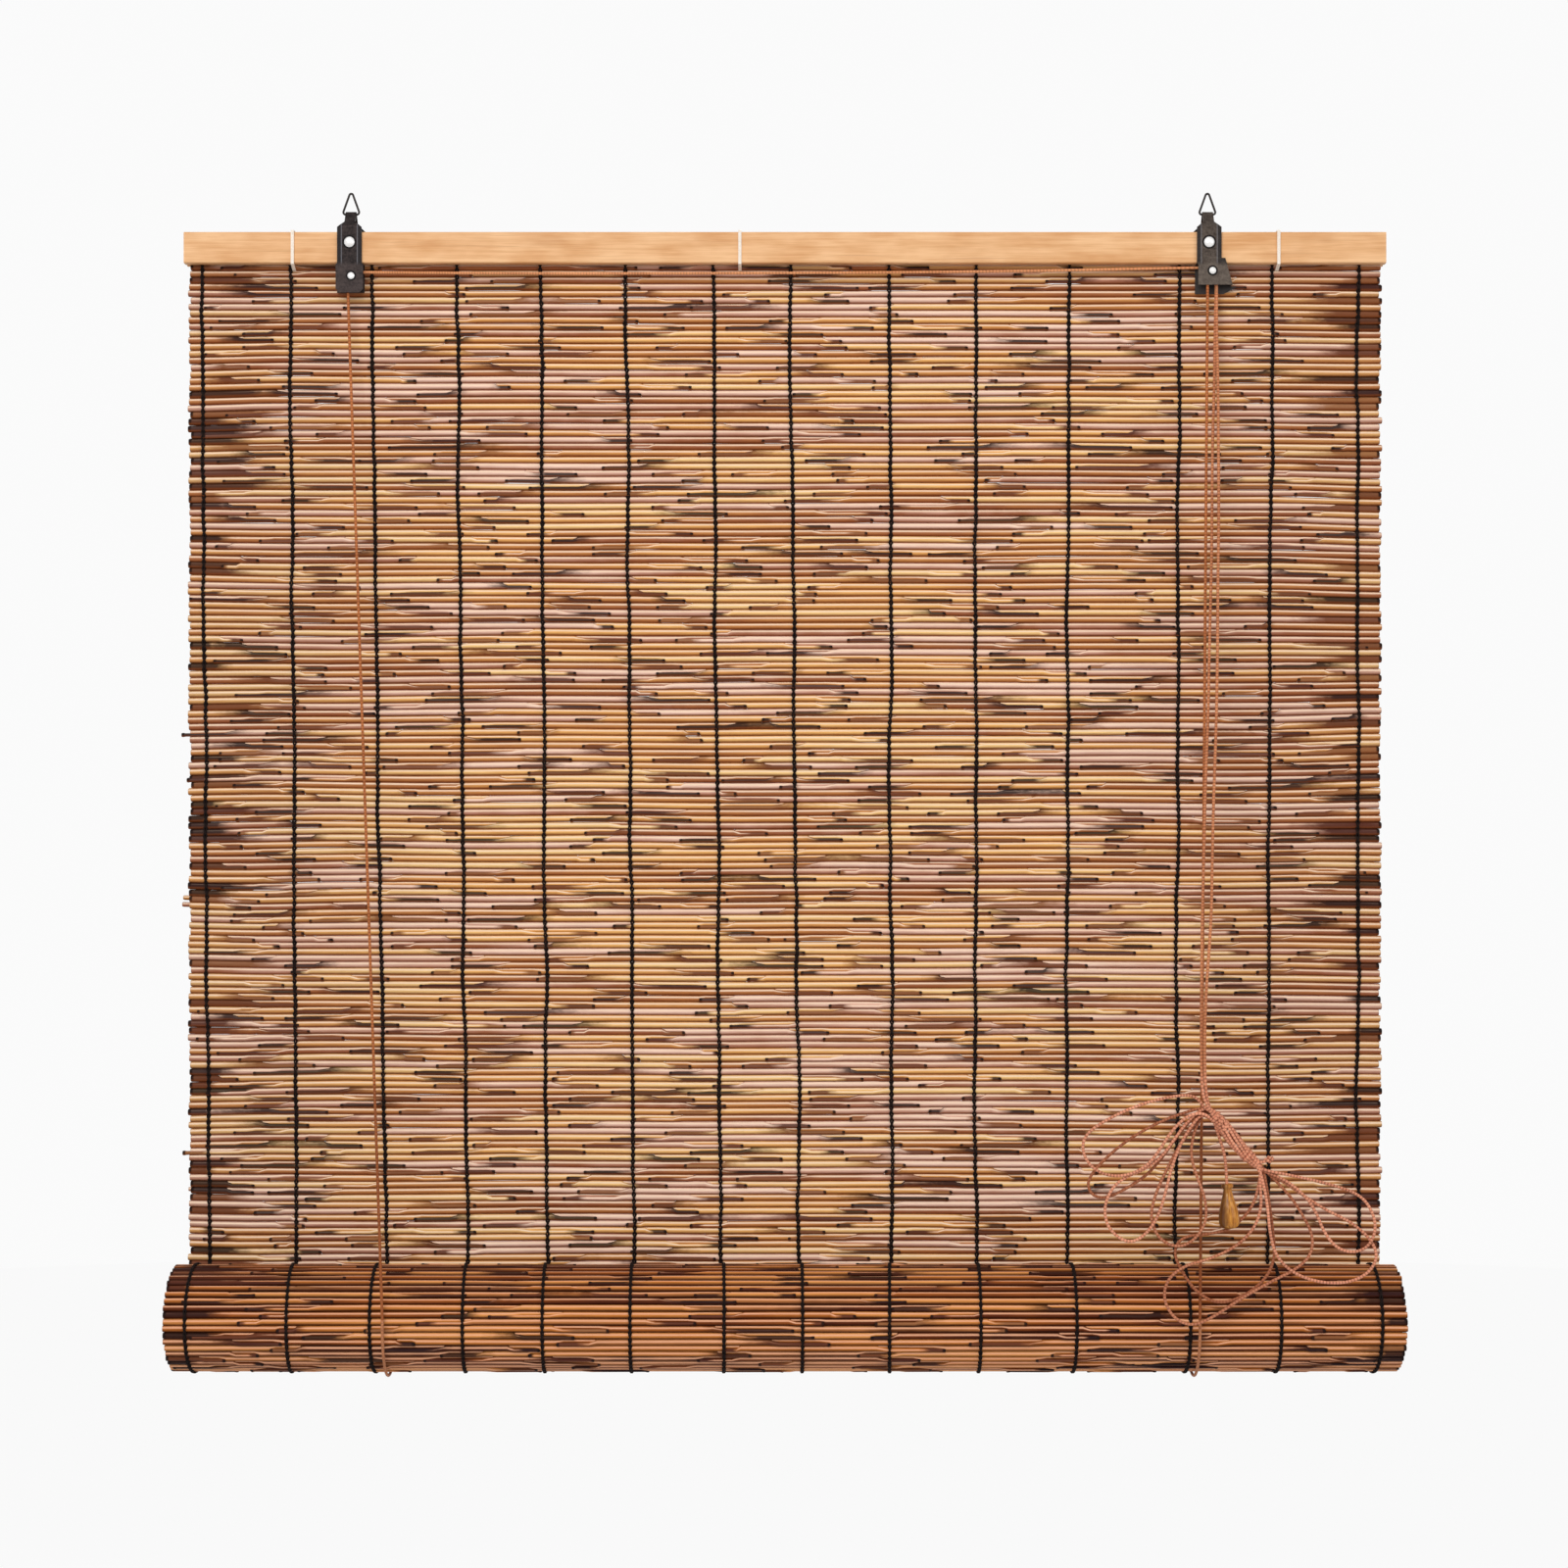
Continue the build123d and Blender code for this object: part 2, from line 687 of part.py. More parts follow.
with BuildPart() as right_lock_cheek:
    fold_cheek(right_hanger_x, lock_wedge_foot)
    with BuildSketch(Plane.XZ):
        with BuildLine():
            Polyline(
                (right_hanger_x - cheek_tab_width / 2, rail_foot + cheek_tab_height),
                (right_hanger_x - cheek_tab_width / 2, rail_foot),
                (right_hanger_x - lock_wedge_left, rail_foot - cheek_thickness),
                (right_hanger_x - lock_wedge_left, lock_wedge_foot),
                (right_hanger_x + lock_right_top, lock_wedge_foot),
                (right_hanger_x + lock_wedge_right, lock_foot_z - strap_thickness),
                (right_hanger_x + lock_wedge_right, lock_foot_z),
                (right_hanger_x + lock_right_foot, lock_foot_z),
                (right_hanger_x + lock_right_top, rail_foot),
                (right_hanger_x + cheek_tab_width / 2, rail_foot),
                (right_hanger_x + cheek_tab_width / 2, rail_foot + cheek_tab_height),
                close=True,
            )
        make_face()
    extrude(amount=strap_through, both=True, mode=Mode.INTERSECT)
    with BuildSketch(Plane.XZ):
        with Locations((right_hanger_x, -rail_rivet_drop)):
            Circle(rail_rivet_radius + rivet_hole_clearance)
        with Locations((right_axle_x, right_axle_z)):
            Circle(axle_radius + rivet_hole_clearance)
        # slanted slot that the lock's roller rides in
        with Locations(
            Location(
                (
                    roller_x + roller_travel / 2 * sin(roller_slot_lean),
                    roller_z - roller_travel / 2 * cos(roller_slot_lean),
                ),
                -90 + degrees(roller_slot_lean),
            )
        ):
            SlotCenterToCenter(roller_travel, 2 * (roller_pin_radius + roller_clearance))
    extrude(amount=strap_through, both=True, mode=Mode.SUBTRACT)


# Rivets through strap, plate, slats and mat, with a domed head in front and a clinched end behind
def rail_rivet(hanger_x):
    """A rivet whose section is turned about its own axis."""
    with BuildPart() as rivet:
        with BuildSketch(Plane((hanger_x, 0, -rail_rivet_drop))):
            with BuildLine():
                Polyline(
                    (rail_rivet_head_radius, front_leg_face),
                    (rail_rivet_radius, front_leg_face),
                    (rail_rivet_radius, back_leg_face),
                    (1.7 * rail_rivet_radius, back_leg_face),
                    (1.4 * rail_rivet_radius, back_leg_face + strap_thickness),
                    (0, back_leg_face + strap_thickness),
                    (0, front_leg_face - rail_rivet_head_height),
                )
                RadiusArc(
                    (0, front_leg_face - rail_rivet_head_height),
                    (rail_rivet_head_radius, front_leg_face),
                    -rail_rivet_dome,
                )
            make_face()
        revolve(axis=Axis((hanger_x, 0, -rail_rivet_drop), (0, 1, 0)))
    return rivet


left_rail_rivet = rail_rivet(left_hanger_x)
right_rail_rivet = rail_rivet(right_hanger_x)


# Axles of the pulleys, riveted through strap and back plate
def pulley_axle(axle_x, axle_z):
    """An axle with a flat-topped head in front and its end spread behind the back plate."""
    end_height = 0.4 * cheek_thickness
    with BuildPart() as axle:
        with BuildSketch(Plane((axle_x, 0, axle_z))):
            with BuildLine():
                Polyline(
                    (0, front_leg_face - axle_head_height),
                    (0.5 * axle_head_radius, front_leg_face - axle_head_height),
                    (axle_head_radius, front_leg_face - 0.3 * axle_head_height),
                    (axle_head_radius, front_leg_face),
                    (axle_radius, front_leg_face),
                    (axle_radius, cheek_back),
                    (1.4 * axle_radius, cheek_back),
                    (1.2 * axle_radius, cheek_back + end_height),
                    (0, cheek_back + end_height),
                    close=True,
                )
            make_face()
        revolve(axis=Axis((axle_x, 0, axle_z), (0, 1, 0)))
    return axle


left_pulley_axle = pulley_axle(left_axle_x, left_axle_z)
right_pulley_axle = pulley_axle(right_axle_x, right_axle_z)


# Pulleys: one groove at the left, two at the right
def grooved_pulley(axle_x, axle_z, groove_places):
    """A pulley with a tapered groove at each depth given."""
    floor = pulley_pitch_radius - cord_radius - cord_groove_clearance
    bore = axle_radius + running_clearance
    front = groove_places[0] - groove_width / 2 - pulley_wall
    back = groove_places[-1] + groove_width / 2 + pulley_wall
    section = [(bore, front), (pulley_radius, front)]
    for place in groove_places:
        section += [
            (pulley_radius, place - groove_width / 2),
            (floor, place - cord_radius - cord_groove_clearance),
            (floor, place + cord_radius + cord_groove_clearance),
            (pulley_radius, place + groove_width / 2),
        ]
    section += [(pulley_radius, back), (bore, back)]
    with BuildPart() as pulley:
        with BuildSketch(Plane((axle_x, 0, axle_z))):
            with BuildLine():
                Polyline(*section, close=True)
            make_face()
        revolve(axis=Axis((axle_x, 0, axle_z), (0, 1, 0)))
    return pulley


left_pulley = grooved_pulley(left_axle_x, left_axle_z, (pulley_y,))
right_pulley = grooved_pulley(right_axle_x, right_axle_z, (right_front_groove_y, right_back_groove_y))

# Roller of the cord lock: it jams the pull cords and slides down its slot to free them
with BuildPart() as lock_roller:
    with BuildSketch(Plane.XZ.offset(-(tab_front + roller_clearance))):
        with Locations((roller_x, roller_z)):
            RegularPolygon(roller_radius, 16)
    extrude(amount=-(housing_depth - 2 * roller_clearance))
    with BuildSketch(Plane.XZ.offset(-(cheek_face - roller_clearance))):
        with Locations((roller_x, roller_z)):
            Circle(roller_pin_radius)
    extrude(amount=-(cheek_thickness + roller_clearance))


# Lift cords
def tight_cord(start, end):
    """A tight length of cord, with a small gap at each end where the next length takes over."""
    along = Vector(*end) - Vector(*start)
    way = along.normalized()
    with BuildPart() as cord:
        with BuildSketch(Plane(origin=Vector(*start) + way * cord_joint_gap, z_dir=way)):
            Circle(cord_radius)
        extrude(amount=along.length - 2 * cord_joint_gap)
    return cord


left_front_foot = tangent_to_sling((pulley_y, left_axle_z), -1)
right_front_foot = tangent_to_sling((right_front_groove_y, right_axle_z), -1)
back_foot = tangent_to_sling((tab_hole_y, back_cord_top), 1)
lift_cord_left_front = tight_cord(
    (left_axle_x - pulley_pitch_radius, pulley_y, left_axle_z),
    (left_sling_x, *left_front_foot),
)
lift_cord_right_front = tight_cord(
    (right_axle_x - pulley_pitch_radius, right_front_groove_y, right_axle_z),
    (right_sling_x, *right_front_foot),
)
lift_cord_left_back = tight_cord((left_back_cord_x, tab_hole_y, back_cord_top), (left_sling_x, *back_foot))
lift_cord_right_back = tight_cord(
    (right_back_cord_x, tab_hole_y, back_cord_top), (right_sling_x, *back_foot)
)


# Stopper knots on the tabs at the back
def stopper_knot(knot_x):
    """A round knot that sits on the tab."""
    with BuildPart() as knot:
        with BuildSketch(Plane.XZ.offset(-tab_hole_y)):
            with BuildLine():
                Line((knot_x, back_cord_top), (knot_x, back_cord_top + 2 * stopper_knot_radius))
                ThreePointArc(
                    (knot_x, back_cord_top + 2 * stopper_knot_radius),
                    (knot_x + stopper_knot_radius, back_cord_top + stopper_knot_radius),
                    (knot_x, back_cord_top),
                )
            make_face()
        revolve(axis=Axis((knot_x, tab_hole_y, 0), (0, 0, 1)))
    return knot


left_stopper_knot = stopper_knot(left_back_cord_x)
right_stopper_knot = stopper_knot(right_back_cord_x)


# Slings of the lift cords round the underside of the roll
def cord_sling(sling_x, front_foot):
    """The part of a lift cord that carries the roll."""
    with BuildPart() as sling:
        with BuildLine(Plane.YZ.offset(sling_x)) as under_roll:
            ThreePointArc(back_foot, (roll_y, roll_z - sling_radius), front_foot)
        with BuildSketch(Plane(origin=under_roll.line @ 0, z_dir=under_roll.line % 0)):
            Circle(cord_radius)
        sweep()
    return sling


left_sling = cord_sling(left_sling_x, left_front_foot)
right_sling = cord_sling(right_sling_x, right_front_foot)

# Left lift cord over both pulleys: across the front under the rail, and down to the lock's foot
with BuildPart() as cross_cord:
    with BuildLine() as cross_path:
        FilletPolyline(
            *cross_cord_points,
            radius=(cross_cord_bend, *route_radii(cross_cord_points[1:-1]), cross_cord_bend),
        )
    with BuildSketch(Plane(origin=cross_path.line @ 0, z_dir=cross_path.line % 0)):
        Circle(cord_radius)
    sweep()

# Right lift cord over its pulley, from the front of the roll to the lock's foot
with BuildPart() as lock_cord:
    with BuildLine(Plane.XZ.offset(-right_front_groove_y)) as lock_path:
        ThreePointArc(
            (right_axle_x - pulley_pitch_radius, right_axle_z),
            (right_axle_x, right_axle_z + pulley_pitch_radius),
            (right_axle_x + pulley_pitch_radius, right_axle_z),
        )
        Line(
            (right_axle_x + pulley_pitch_radius, right_axle_z),
            (right_axle_x + pulley_pitch_radius, lock_exit_z),
        )
    with BuildSketch(Plane(origin=lock_path.line @ 0, z_dir=lock_path.line % 0)):
        Circle(cord_radius)
    sweep()


# Pull cords from the lock down to the main knot
def pull_cord(groove_y, route, knot_x):
    """A tube of straight runs joined by tangent arcs, from the foot of the lock to the knot."""
    points = (
        (right_axle_x + pulley_pitch_radius, groove_y, lock_exit_z - cord_joint_gap),
        *route,
        (knot_x, knot_y, main_knot_z + cord_joint_gap),
    )
    radii = route_radii(points)
    with BuildPart() as cord:
        with BuildLine() as cord_path:
            FilletPolyline(*points, radius=radii)
        with BuildSketch(Plane(origin=cord_path.line @ 0, z_dir=cord_path.line % 0)):
            Circle(cord_radius)
        sweep()
    length = sum(edge.length for edge in cord_path.edges())
    print("pull cord length", round(length, 1), "least bend radius", round(min(radii), 1))
    return cord


pull_cord_left = pull_cord(right_back_groove_y, left_pull_route, main_knot_x - 2.4)
pull_cord_right = pull_cord(right_front_groove_y, right_pull_route, main_knot_x + 2.4)

# Main knot, which gathers both cords
with BuildPart() as main_knot:
    for drop, lean, slimmer in ((0, 0, 3), (main_knot_height / 2, 1.5, 0), (main_knot_height, 3, 4)):
        with BuildSketch(Plane.XY.offset(main_knot_z - drop)):
            with Locations((main_knot_x + lean, knot_y)):
                RectangleRounded(main_knot_width - slimmer, main_knot_depth - slimmer, main_knot_corner)
    loft()

# Loops of spare cord at the left of the main knot, as one solid of their outer shape
with BuildPart() as left_loops:
    with BuildSketch(Plane.XZ.offset(-hank_back)):
        with BuildLine():
            Polyline(*left_loops_outline, close=True)
        make_face()
        fillet(vertices(), hank_edge_radius)
    extrude(amount=hank_depth)

# Loops of spare cord at the right, below the second binding
with BuildPart() as right_loops:
    with BuildSketch(Plane.XZ.offset(-hank_back)):
        with BuildLine():
            Polyline(*right_loops_outline, close=True)
        make_face()
        fillet(vertices(), hank_edge_radius)
    extrude(amount=hank_depth)

# Twisted strands between the main knot and the right-hand loops, with their binding
with BuildPart() as side_binding:
    with BuildSketch(Plane.XZ.offset(-hank_back)):
        with BuildLine():
            Polyline(*side_binding_outline, close=True)
        make_face()
        fillet(vertices(), hank_edge_radius / 2)
    extrude(amount=hank_depth)

# Cord from the main knot to the wooden pull
with BuildPart() as bead_cord:
    with BuildSketch(
        Plane(origin=(bead_cord_top_x, knot_y, bead_cord_top_z), z_dir=(bead_cord_lean, 0, -bead_cord_fall))
    ):
        Circle(cord_radius)
    extrude(amount=hypot(bead_cord_lean, bead_cord_fall) - 2 * cord_joint_gap)

# Turned wooden pull
with BuildPart() as wooden_pull:
    with BuildSketch(Plane((bead_x, knot_y, bead_top_z), x_dir=(1, 0, 0), z_dir=(0, -1, 0))):
        with BuildLine():
            Line((0, 0), (bead_neck_radius, 0))
            ThreePointArc((bead_neck_radius, 0), (bead_collar_radius, -2), (bead_neck_radius, -4))
            Line((bead_neck_radius, -4), (bead_neck_radius, -6))
            Spline(
                (bead_neck_radius, -6),
                (0.66 * bead_radius, -0.4 * bead_length),
                (bead_radius, -0.76 * bead_length),
                (0.62 * bead_radius, -0.95 * bead_length),
                (0, -bead_length),
                tangents=((0, -1), (-1, 0)),
            )
            Line((0, -bead_length), (0, 0))
        make_face()
    revolve(axis=Axis((bead_x, knot_y, 0), (0, 0, 1)))

pieces = {
    "head_rail_front": head_rail_front,
    "head_rail_back": head_rail_back,
    "left_tie": left_tie,
    "middle_tie": middle_tie,
    "right_tie": right_tie,
    "reed_mat": reed_mat,
    "mat_threads": mat_threads,
    "reed_roll": reed_roll,
    "roll_threads": roll_threads,
    "bottom_batten": bottom_batten,
    "left_ring": left_ring,
    "right_ring": right_ring,
    "left_hanger_strap": left_hanger_strap,
    "right_hanger_strap": right_hanger_strap,
    "left_pulley_cheek": left_pulley_cheek,
    "right_lock_cheek": right_lock_cheek,
    "left_rail_rivet": left_rail_rivet,
    "right_rail_rivet": right_rail_rivet,
    "left_pulley_axle": left_pulley_axle,
    "right_pulley_axle": right_pulley_axle,
    "left_pulley": left_pulley,
    "right_pulley": right_pulley,
    "lock_roller": lock_roller,
    "lift_cord_left_front": lift_cord_left_front,
    "lift_cord_right_front": lift_cord_right_front,
    "lift_cord_left_back": lift_cord_left_back,
    "lift_cord_right_back": lift_cord_right_back,
    "left_stopper_knot": left_stopper_knot,
    "right_stopper_knot": right_stopper_knot,
    "left_sling": left_sling,
    "right_sling": right_sling,
    "cross_cord": cross_cord,
    "lock_cord": lock_cord,
    "pull_cord_left": pull_cord_left,
    "pull_cord_right": pull_cord_right,
    "main_knot": main_knot,
    "left_loops": left_loops,
    "right_loops": right_loops,
    "side_binding": side_binding,
    "bead_cord": bead_cord,
    "wooden_pull": wooden_pull,
}
for name, piece in pieces.items():
    piece.part.label = name
    export_step(piece.part, f"parts/{name}.step")
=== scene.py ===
"""Outdoor roll-up blind of reeds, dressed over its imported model."""

import random
from math import acos, atan2, cos, hypot, pi, sin

import bmesh
import bpy
from mathutils import Matrix, Vector, noise
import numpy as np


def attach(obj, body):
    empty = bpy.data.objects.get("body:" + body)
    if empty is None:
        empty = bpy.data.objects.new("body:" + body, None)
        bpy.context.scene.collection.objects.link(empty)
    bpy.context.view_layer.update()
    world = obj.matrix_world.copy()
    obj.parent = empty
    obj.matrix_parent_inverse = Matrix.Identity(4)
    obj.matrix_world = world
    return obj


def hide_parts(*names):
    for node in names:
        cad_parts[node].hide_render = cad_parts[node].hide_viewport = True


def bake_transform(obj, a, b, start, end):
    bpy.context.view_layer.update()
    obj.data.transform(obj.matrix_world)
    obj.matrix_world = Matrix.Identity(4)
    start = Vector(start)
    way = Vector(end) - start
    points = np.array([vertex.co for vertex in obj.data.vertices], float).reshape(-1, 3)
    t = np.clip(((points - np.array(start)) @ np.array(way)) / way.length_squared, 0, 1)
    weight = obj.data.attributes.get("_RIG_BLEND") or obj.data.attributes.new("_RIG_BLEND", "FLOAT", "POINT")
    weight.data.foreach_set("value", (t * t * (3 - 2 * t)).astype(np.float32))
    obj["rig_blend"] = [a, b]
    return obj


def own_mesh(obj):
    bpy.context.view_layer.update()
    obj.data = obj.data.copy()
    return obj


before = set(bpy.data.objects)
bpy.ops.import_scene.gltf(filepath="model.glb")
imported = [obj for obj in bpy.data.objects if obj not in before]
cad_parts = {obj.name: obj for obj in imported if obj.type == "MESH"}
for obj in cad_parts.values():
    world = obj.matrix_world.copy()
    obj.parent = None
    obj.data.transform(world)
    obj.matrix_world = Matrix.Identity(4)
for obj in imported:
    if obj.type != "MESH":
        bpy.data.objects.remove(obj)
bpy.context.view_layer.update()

# Camera, level with the middle of the blind
camera_place = (-0.0008, -2.7, -0.4917)
camera_lens = 74.2

# Head rail and mat
rail_foot = -0.0585
mat_width = 0.996
mat_top = -0.03515
mat_foot = -0.9287
reed_pitch = 0.00555
reed_depth = 0.005
reed_rows = 161
rows_in_rail = 4
stalk_mean_in_mat = 0.118
stalk_mean_in_roll = 0.125
sway_in_mat = 0.0004
sway_in_roll = 0.0005
stalk_spread = (0.45, 1.55)
browned_side_share = 0.36
side_browning = (0.02, 0.09)
shortest_lap = 0.012
longest_lap = 0.066
dark_reaches = (0.4, 0.9, 1.05, 1.2, 1.6)
stalk_girth = (1.12, 1.22)
girth_in_front = (0.56, 0.70)
girth_behind = (0.74, 0.84)
plain_girth = 0.95
cut_end = 0.0012
end_shoulder = 0.0034
ragged_mat_side = (-0.0006, 0.0022)
ripple = 0.0011
side_ripple = 0.0019

# Studio
floor_z = -2.62
floor_radius = 12.0
paper_white = 0.92
sky_light = 0.33
sky_white = 0.96
blind_middle = (0.0, 0.0, -0.5)

# Roll
roll_y = -0.044
roll_z = -0.929
roll_radius = 0.0465
turn_pitch = 0.0053
roll_turns = 6
outer_turns_end = 2.15 * pi
ragged_roll_side = (-0.0004, 0.0008)
ragged_inner_side = (0.0, 0.003)
thread_end = 300 * pi / 180

# Warp threads
thread_radius = 0.0009
thread_swing = 0.0012
swing_on_roll = 0.0010
depth_in_gap = 0.0019
depth_on_reed = 0.0031
strand_offset = 0.00025
slow_wander = 0.0022
quick_wander = 0.0009
front_threads_foot = -0.9123
back_threads_foot = -0.9225

# Where each thread hangs at the rail, from the left, and at the foot of the mat
thread_tops = (
    -0.487, -0.4135, -0.345, -0.274, -0.204, -0.132, -0.060,
    0.004, 0.087, 0.159, 0.237, 0.329, 0.4065, 0.478,
)
thread_feet = (
    -0.480, -0.407, -0.333, -0.2645, -0.198, -0.1265, -0.053,
    0.013, 0.0895, 0.159, 0.2346, 0.326, 0.403, 0.478,
)

# Cords
cord_diameter = 0.0024
strand_pitch = 0.0026
hank_top = -0.735
tight_cord_sides = 8
sling_radius = 0.048
knot_y = -0.1006

# Pull cords, from the foot of the lock to the main knot
left_pull_route = (
    (0.3591, -0.007375, -0.0833),
    (0.3576, -0.012, -0.112),
    (0.3564, -0.0185, -0.158),
    (0.3536, -0.026, -0.212),
    (0.3524, -0.0335, -0.268),
    (0.3508, -0.0405, -0.324),
    (0.3482, -0.048, -0.380),
    (0.3464, -0.0555, -0.436),
    (0.3430, -0.063, -0.492),
    (0.3409, -0.071, -0.548),
    (0.3382, -0.0795, -0.604),
    (0.3366, -0.088, -0.658),
    (0.3356, -0.0945, -0.704),
    (0.3353, -0.1000, -0.7340),
    (0.3364, -0.1030, -0.7438),
    (0.3395, -0.1040, -0.7505),
)
right_pull_route = (
    (0.3591, -0.011225, -0.0833),
    (0.3584, -0.016, -0.112),
    (0.3588, -0.0225, -0.158),
    (0.358, -0.0305, -0.212),
    (0.3574, -0.038, -0.268),
    (0.3556, -0.0455, -0.324),
    (0.3543, -0.053, -0.380),
    (0.3525, -0.0605, -0.436),
    (0.3494, -0.0685, -0.492),
    (0.3469, -0.0765, -0.548),
    (0.3450, -0.085, -0.604),
    (0.3396, -0.093, -0.658),
    (0.3376, -0.0985, -0.704),
    (0.3384, -0.1006, -0.7440),
)

# The hank: the cord runs from loop to loop, left and right, through the knot and the second binding
pass_one = (
    (0.3445, -0.1040, -0.7595),
    (0.3506, -0.1040, -0.7698),
    (0.3586, -0.1026, -0.7826),
    (0.3701, -0.1007, -0.7943),
    (0.3803, -0.0995, -0.8015),
)
right_loop_one = (
    (0.4009, -0.1008, -0.8091),
    (0.4165, -0.1021, -0.8208),
    (0.4265, -0.1034, -0.8348),
    (0.4325, -0.1047, -0.8511),
    (0.4420, -0.1047, -0.8637),
    (0.4546, -0.1047, -0.8684),
    (0.4679, -0.1047, -0.8645),
    (0.4750, -0.1047, -0.8503),
    (0.4719, -0.1047, -0.8346),
    (0.4618, -0.1040, -0.8213),
    (0.4391, -0.1032, -0.8136),
    (0.4125, -0.1025, -0.8073),
)
pass_two = (
    (0.3800, -0.1017, -0.8013),
    (0.3704, -0.1029, -0.7934),
    (0.3600, -0.1050, -0.7809),
    (0.3528, -0.1053, -0.7679),
    (0.3460, -0.1041, -0.7575),
    (0.3369, -0.1031, -0.7519),
)
left_loop_one = (
    (0.3312, -0.1035, -0.7435),
    (0.3202, -0.1039, -0.7411),
    (0.2957, -0.1043, -0.7458),
    (0.2737, -0.1047, -0.7536),
    (0.2540, -0.1047, -0.7638),
    (0.2422, -0.1047, -0.7725),
    (0.2383, -0.1047, -0.7827),
    (0.2422, -0.1047, -0.7953),
    (0.2524, -0.1047, -0.8039),
    (0.2658, -0.1047, -0.8071),
    (0.2792, -0.1047, -0.8047),
    (0.2918, -0.1047, -0.7976),
    (0.3013, -0.1043, -0.7851),
    (0.3107, -0.1039, -0.7702),
    (0.3226, -0.1035, -0.7584),
)
pass_three = (
    (0.3351, -0.1031, -0.7556),
    (0.3435, -0.1023, -0.7611),
    (0.3499, -0.1011, -0.7710),
    (0.3588, -0.0992, -0.7831),
    (0.3710, -0.0984, -0.7941),
    (0.3815, -0.0977, -0.8006),
)
right_loop_two = (
    (0.4020, -0.0988, -0.8125),
    (0.4192, -0.0999, -0.8242),
    (0.4363, -0.1009, -0.8351),
    (0.4535, -0.1020, -0.8428),
    (0.4700, -0.1020, -0.8562),
    (0.4771, -0.1020, -0.8712),
    (0.4692, -0.1020, -0.8853),
    (0.4519, -0.1020, -0.8932),
    (0.4283, -0.1020, -0.8924),
    (0.4078, -0.1020, -0.8846),
    (0.3944, -0.1020, -0.8712),
    (0.3896, -0.1024, -0.8522),
    (0.3880, -0.1027, -0.8317),
    (0.3848, -0.1031, -0.8136),
)
pass_four = (
    (0.3806, -0.1035, -0.7999),
    (0.3717, -0.1041, -0.7918),
    (0.3626, -0.1054, -0.7787),
    (0.3553, -0.1044, -0.7661),
    (0.3475, -0.1026, -0.7561),
    (0.3377, -0.1012, -0.7511),
)
left_loop_two = (
    (0.3244, -0.1014, -0.7618),
    (0.3134, -0.1016, -0.7767),
    (0.3031, -0.1018, -0.7917),
    (0.2889, -0.1020, -0.8019),
    (0.2740, -0.1020, -0.8074),
    (0.2629, -0.1020, -0.8161),
    (0.2566, -0.1020, -0.8310),
    (0.2582, -0.1020, -0.8452),
    (0.2661, -0.1020, -0.8554),
    (0.2779, -0.1020, -0.8609),
    (0.2905, -0.1020, -0.8539),
    (0.3007, -0.1020, -0.8381),
    (0.3062, -0.1020, -0.8192),
    (0.3110, -0.1018, -0.7988),
    (0.3189, -0.1016, -0.7791),
    (0.3284, -0.1014, -0.7642),
)
pass_five = (
    (0.3349, -0.1012, -0.7573),
    (0.3436, -0.0998, -0.7616),
    (0.3510, -0.0980, -0.7709),
    (0.3608, -0.0965, -0.7822),
    (0.3726, -0.0972, -0.7927),
    (0.3829, -0.0974, -0.7988),
)
right_loop_three = (
    (0.3958, -0.0978, -0.8119),
    (0.4076, -0.0983, -0.8244),
    (0.4170, -0.0988, -0.8393),
    (0.4248, -0.0993, -0.8542),
    (0.4240, -0.0993, -0.8700),
    (0.4122, -0.0993, -0.8818),
    (0.3909, -0.0993, -0.8921),
    (0.3672, -0.0993, -0.9055),
    (0.3452, -0.0993, -0.9204),
    (0.3278, -0.0993, -0.9283),
    (0.3129, -0.0993, -0.9220),
    (0.3042, -0.0993, -0.9062),
    (0.3074, -0.0993, -0.8905),
    (0.3207, -0.0993, -0.8794),
    (0.3420, -0.0993, -0.8739),
    (0.3625, -0.0993, -0.8645),
    (0.3773, -0.1004, -0.8501),
    (0.3835, -0.1016, -0.8319),
    (0.3817, -0.1027, -0.8136),
)
pass_six = (
    (0.3819, -0.1038, -0.7981),
    (0.3734, -0.1036, -0.7901),
    (0.3650, -0.1035, -0.7772),
    (0.3571, -0.1017, -0.7653),
    (0.3482, -0.1001, -0.7560),
    (0.3378, -0.0990, -0.7517),
)
left_loop_three = (
    (0.3201, -0.0984, -0.7566),
    (0.3012, -0.0978, -0.7638),
    (0.2800, -0.0971, -0.7757),
    (0.2635, -0.0965, -0.7883),
    (0.2493, -0.0965, -0.8025),
    (0.2430, -0.0965, -0.8136),
    (0.2477, -0.0965, -0.8239),
    (0.2596, -0.0965, -0.8254),
    (0.2753, -0.0965, -0.8175),
    (0.2911, -0.0965, -0.8073),
    (0.3037, -0.0971, -0.7930),
    (0.3154, -0.0978, -0.7756),
    (0.3264, -0.0984, -0.7621),
)
pass_seven = (
    (0.3353, -0.0990, -0.7566),
    (0.3447, -0.0977, -0.7608),
    (0.3533, -0.0961, -0.7695),
    (0.3634, -0.0957, -0.7802),
    (0.3742, -0.0975, -0.7910),
    (0.3839, -0.0985, -0.7971),
)
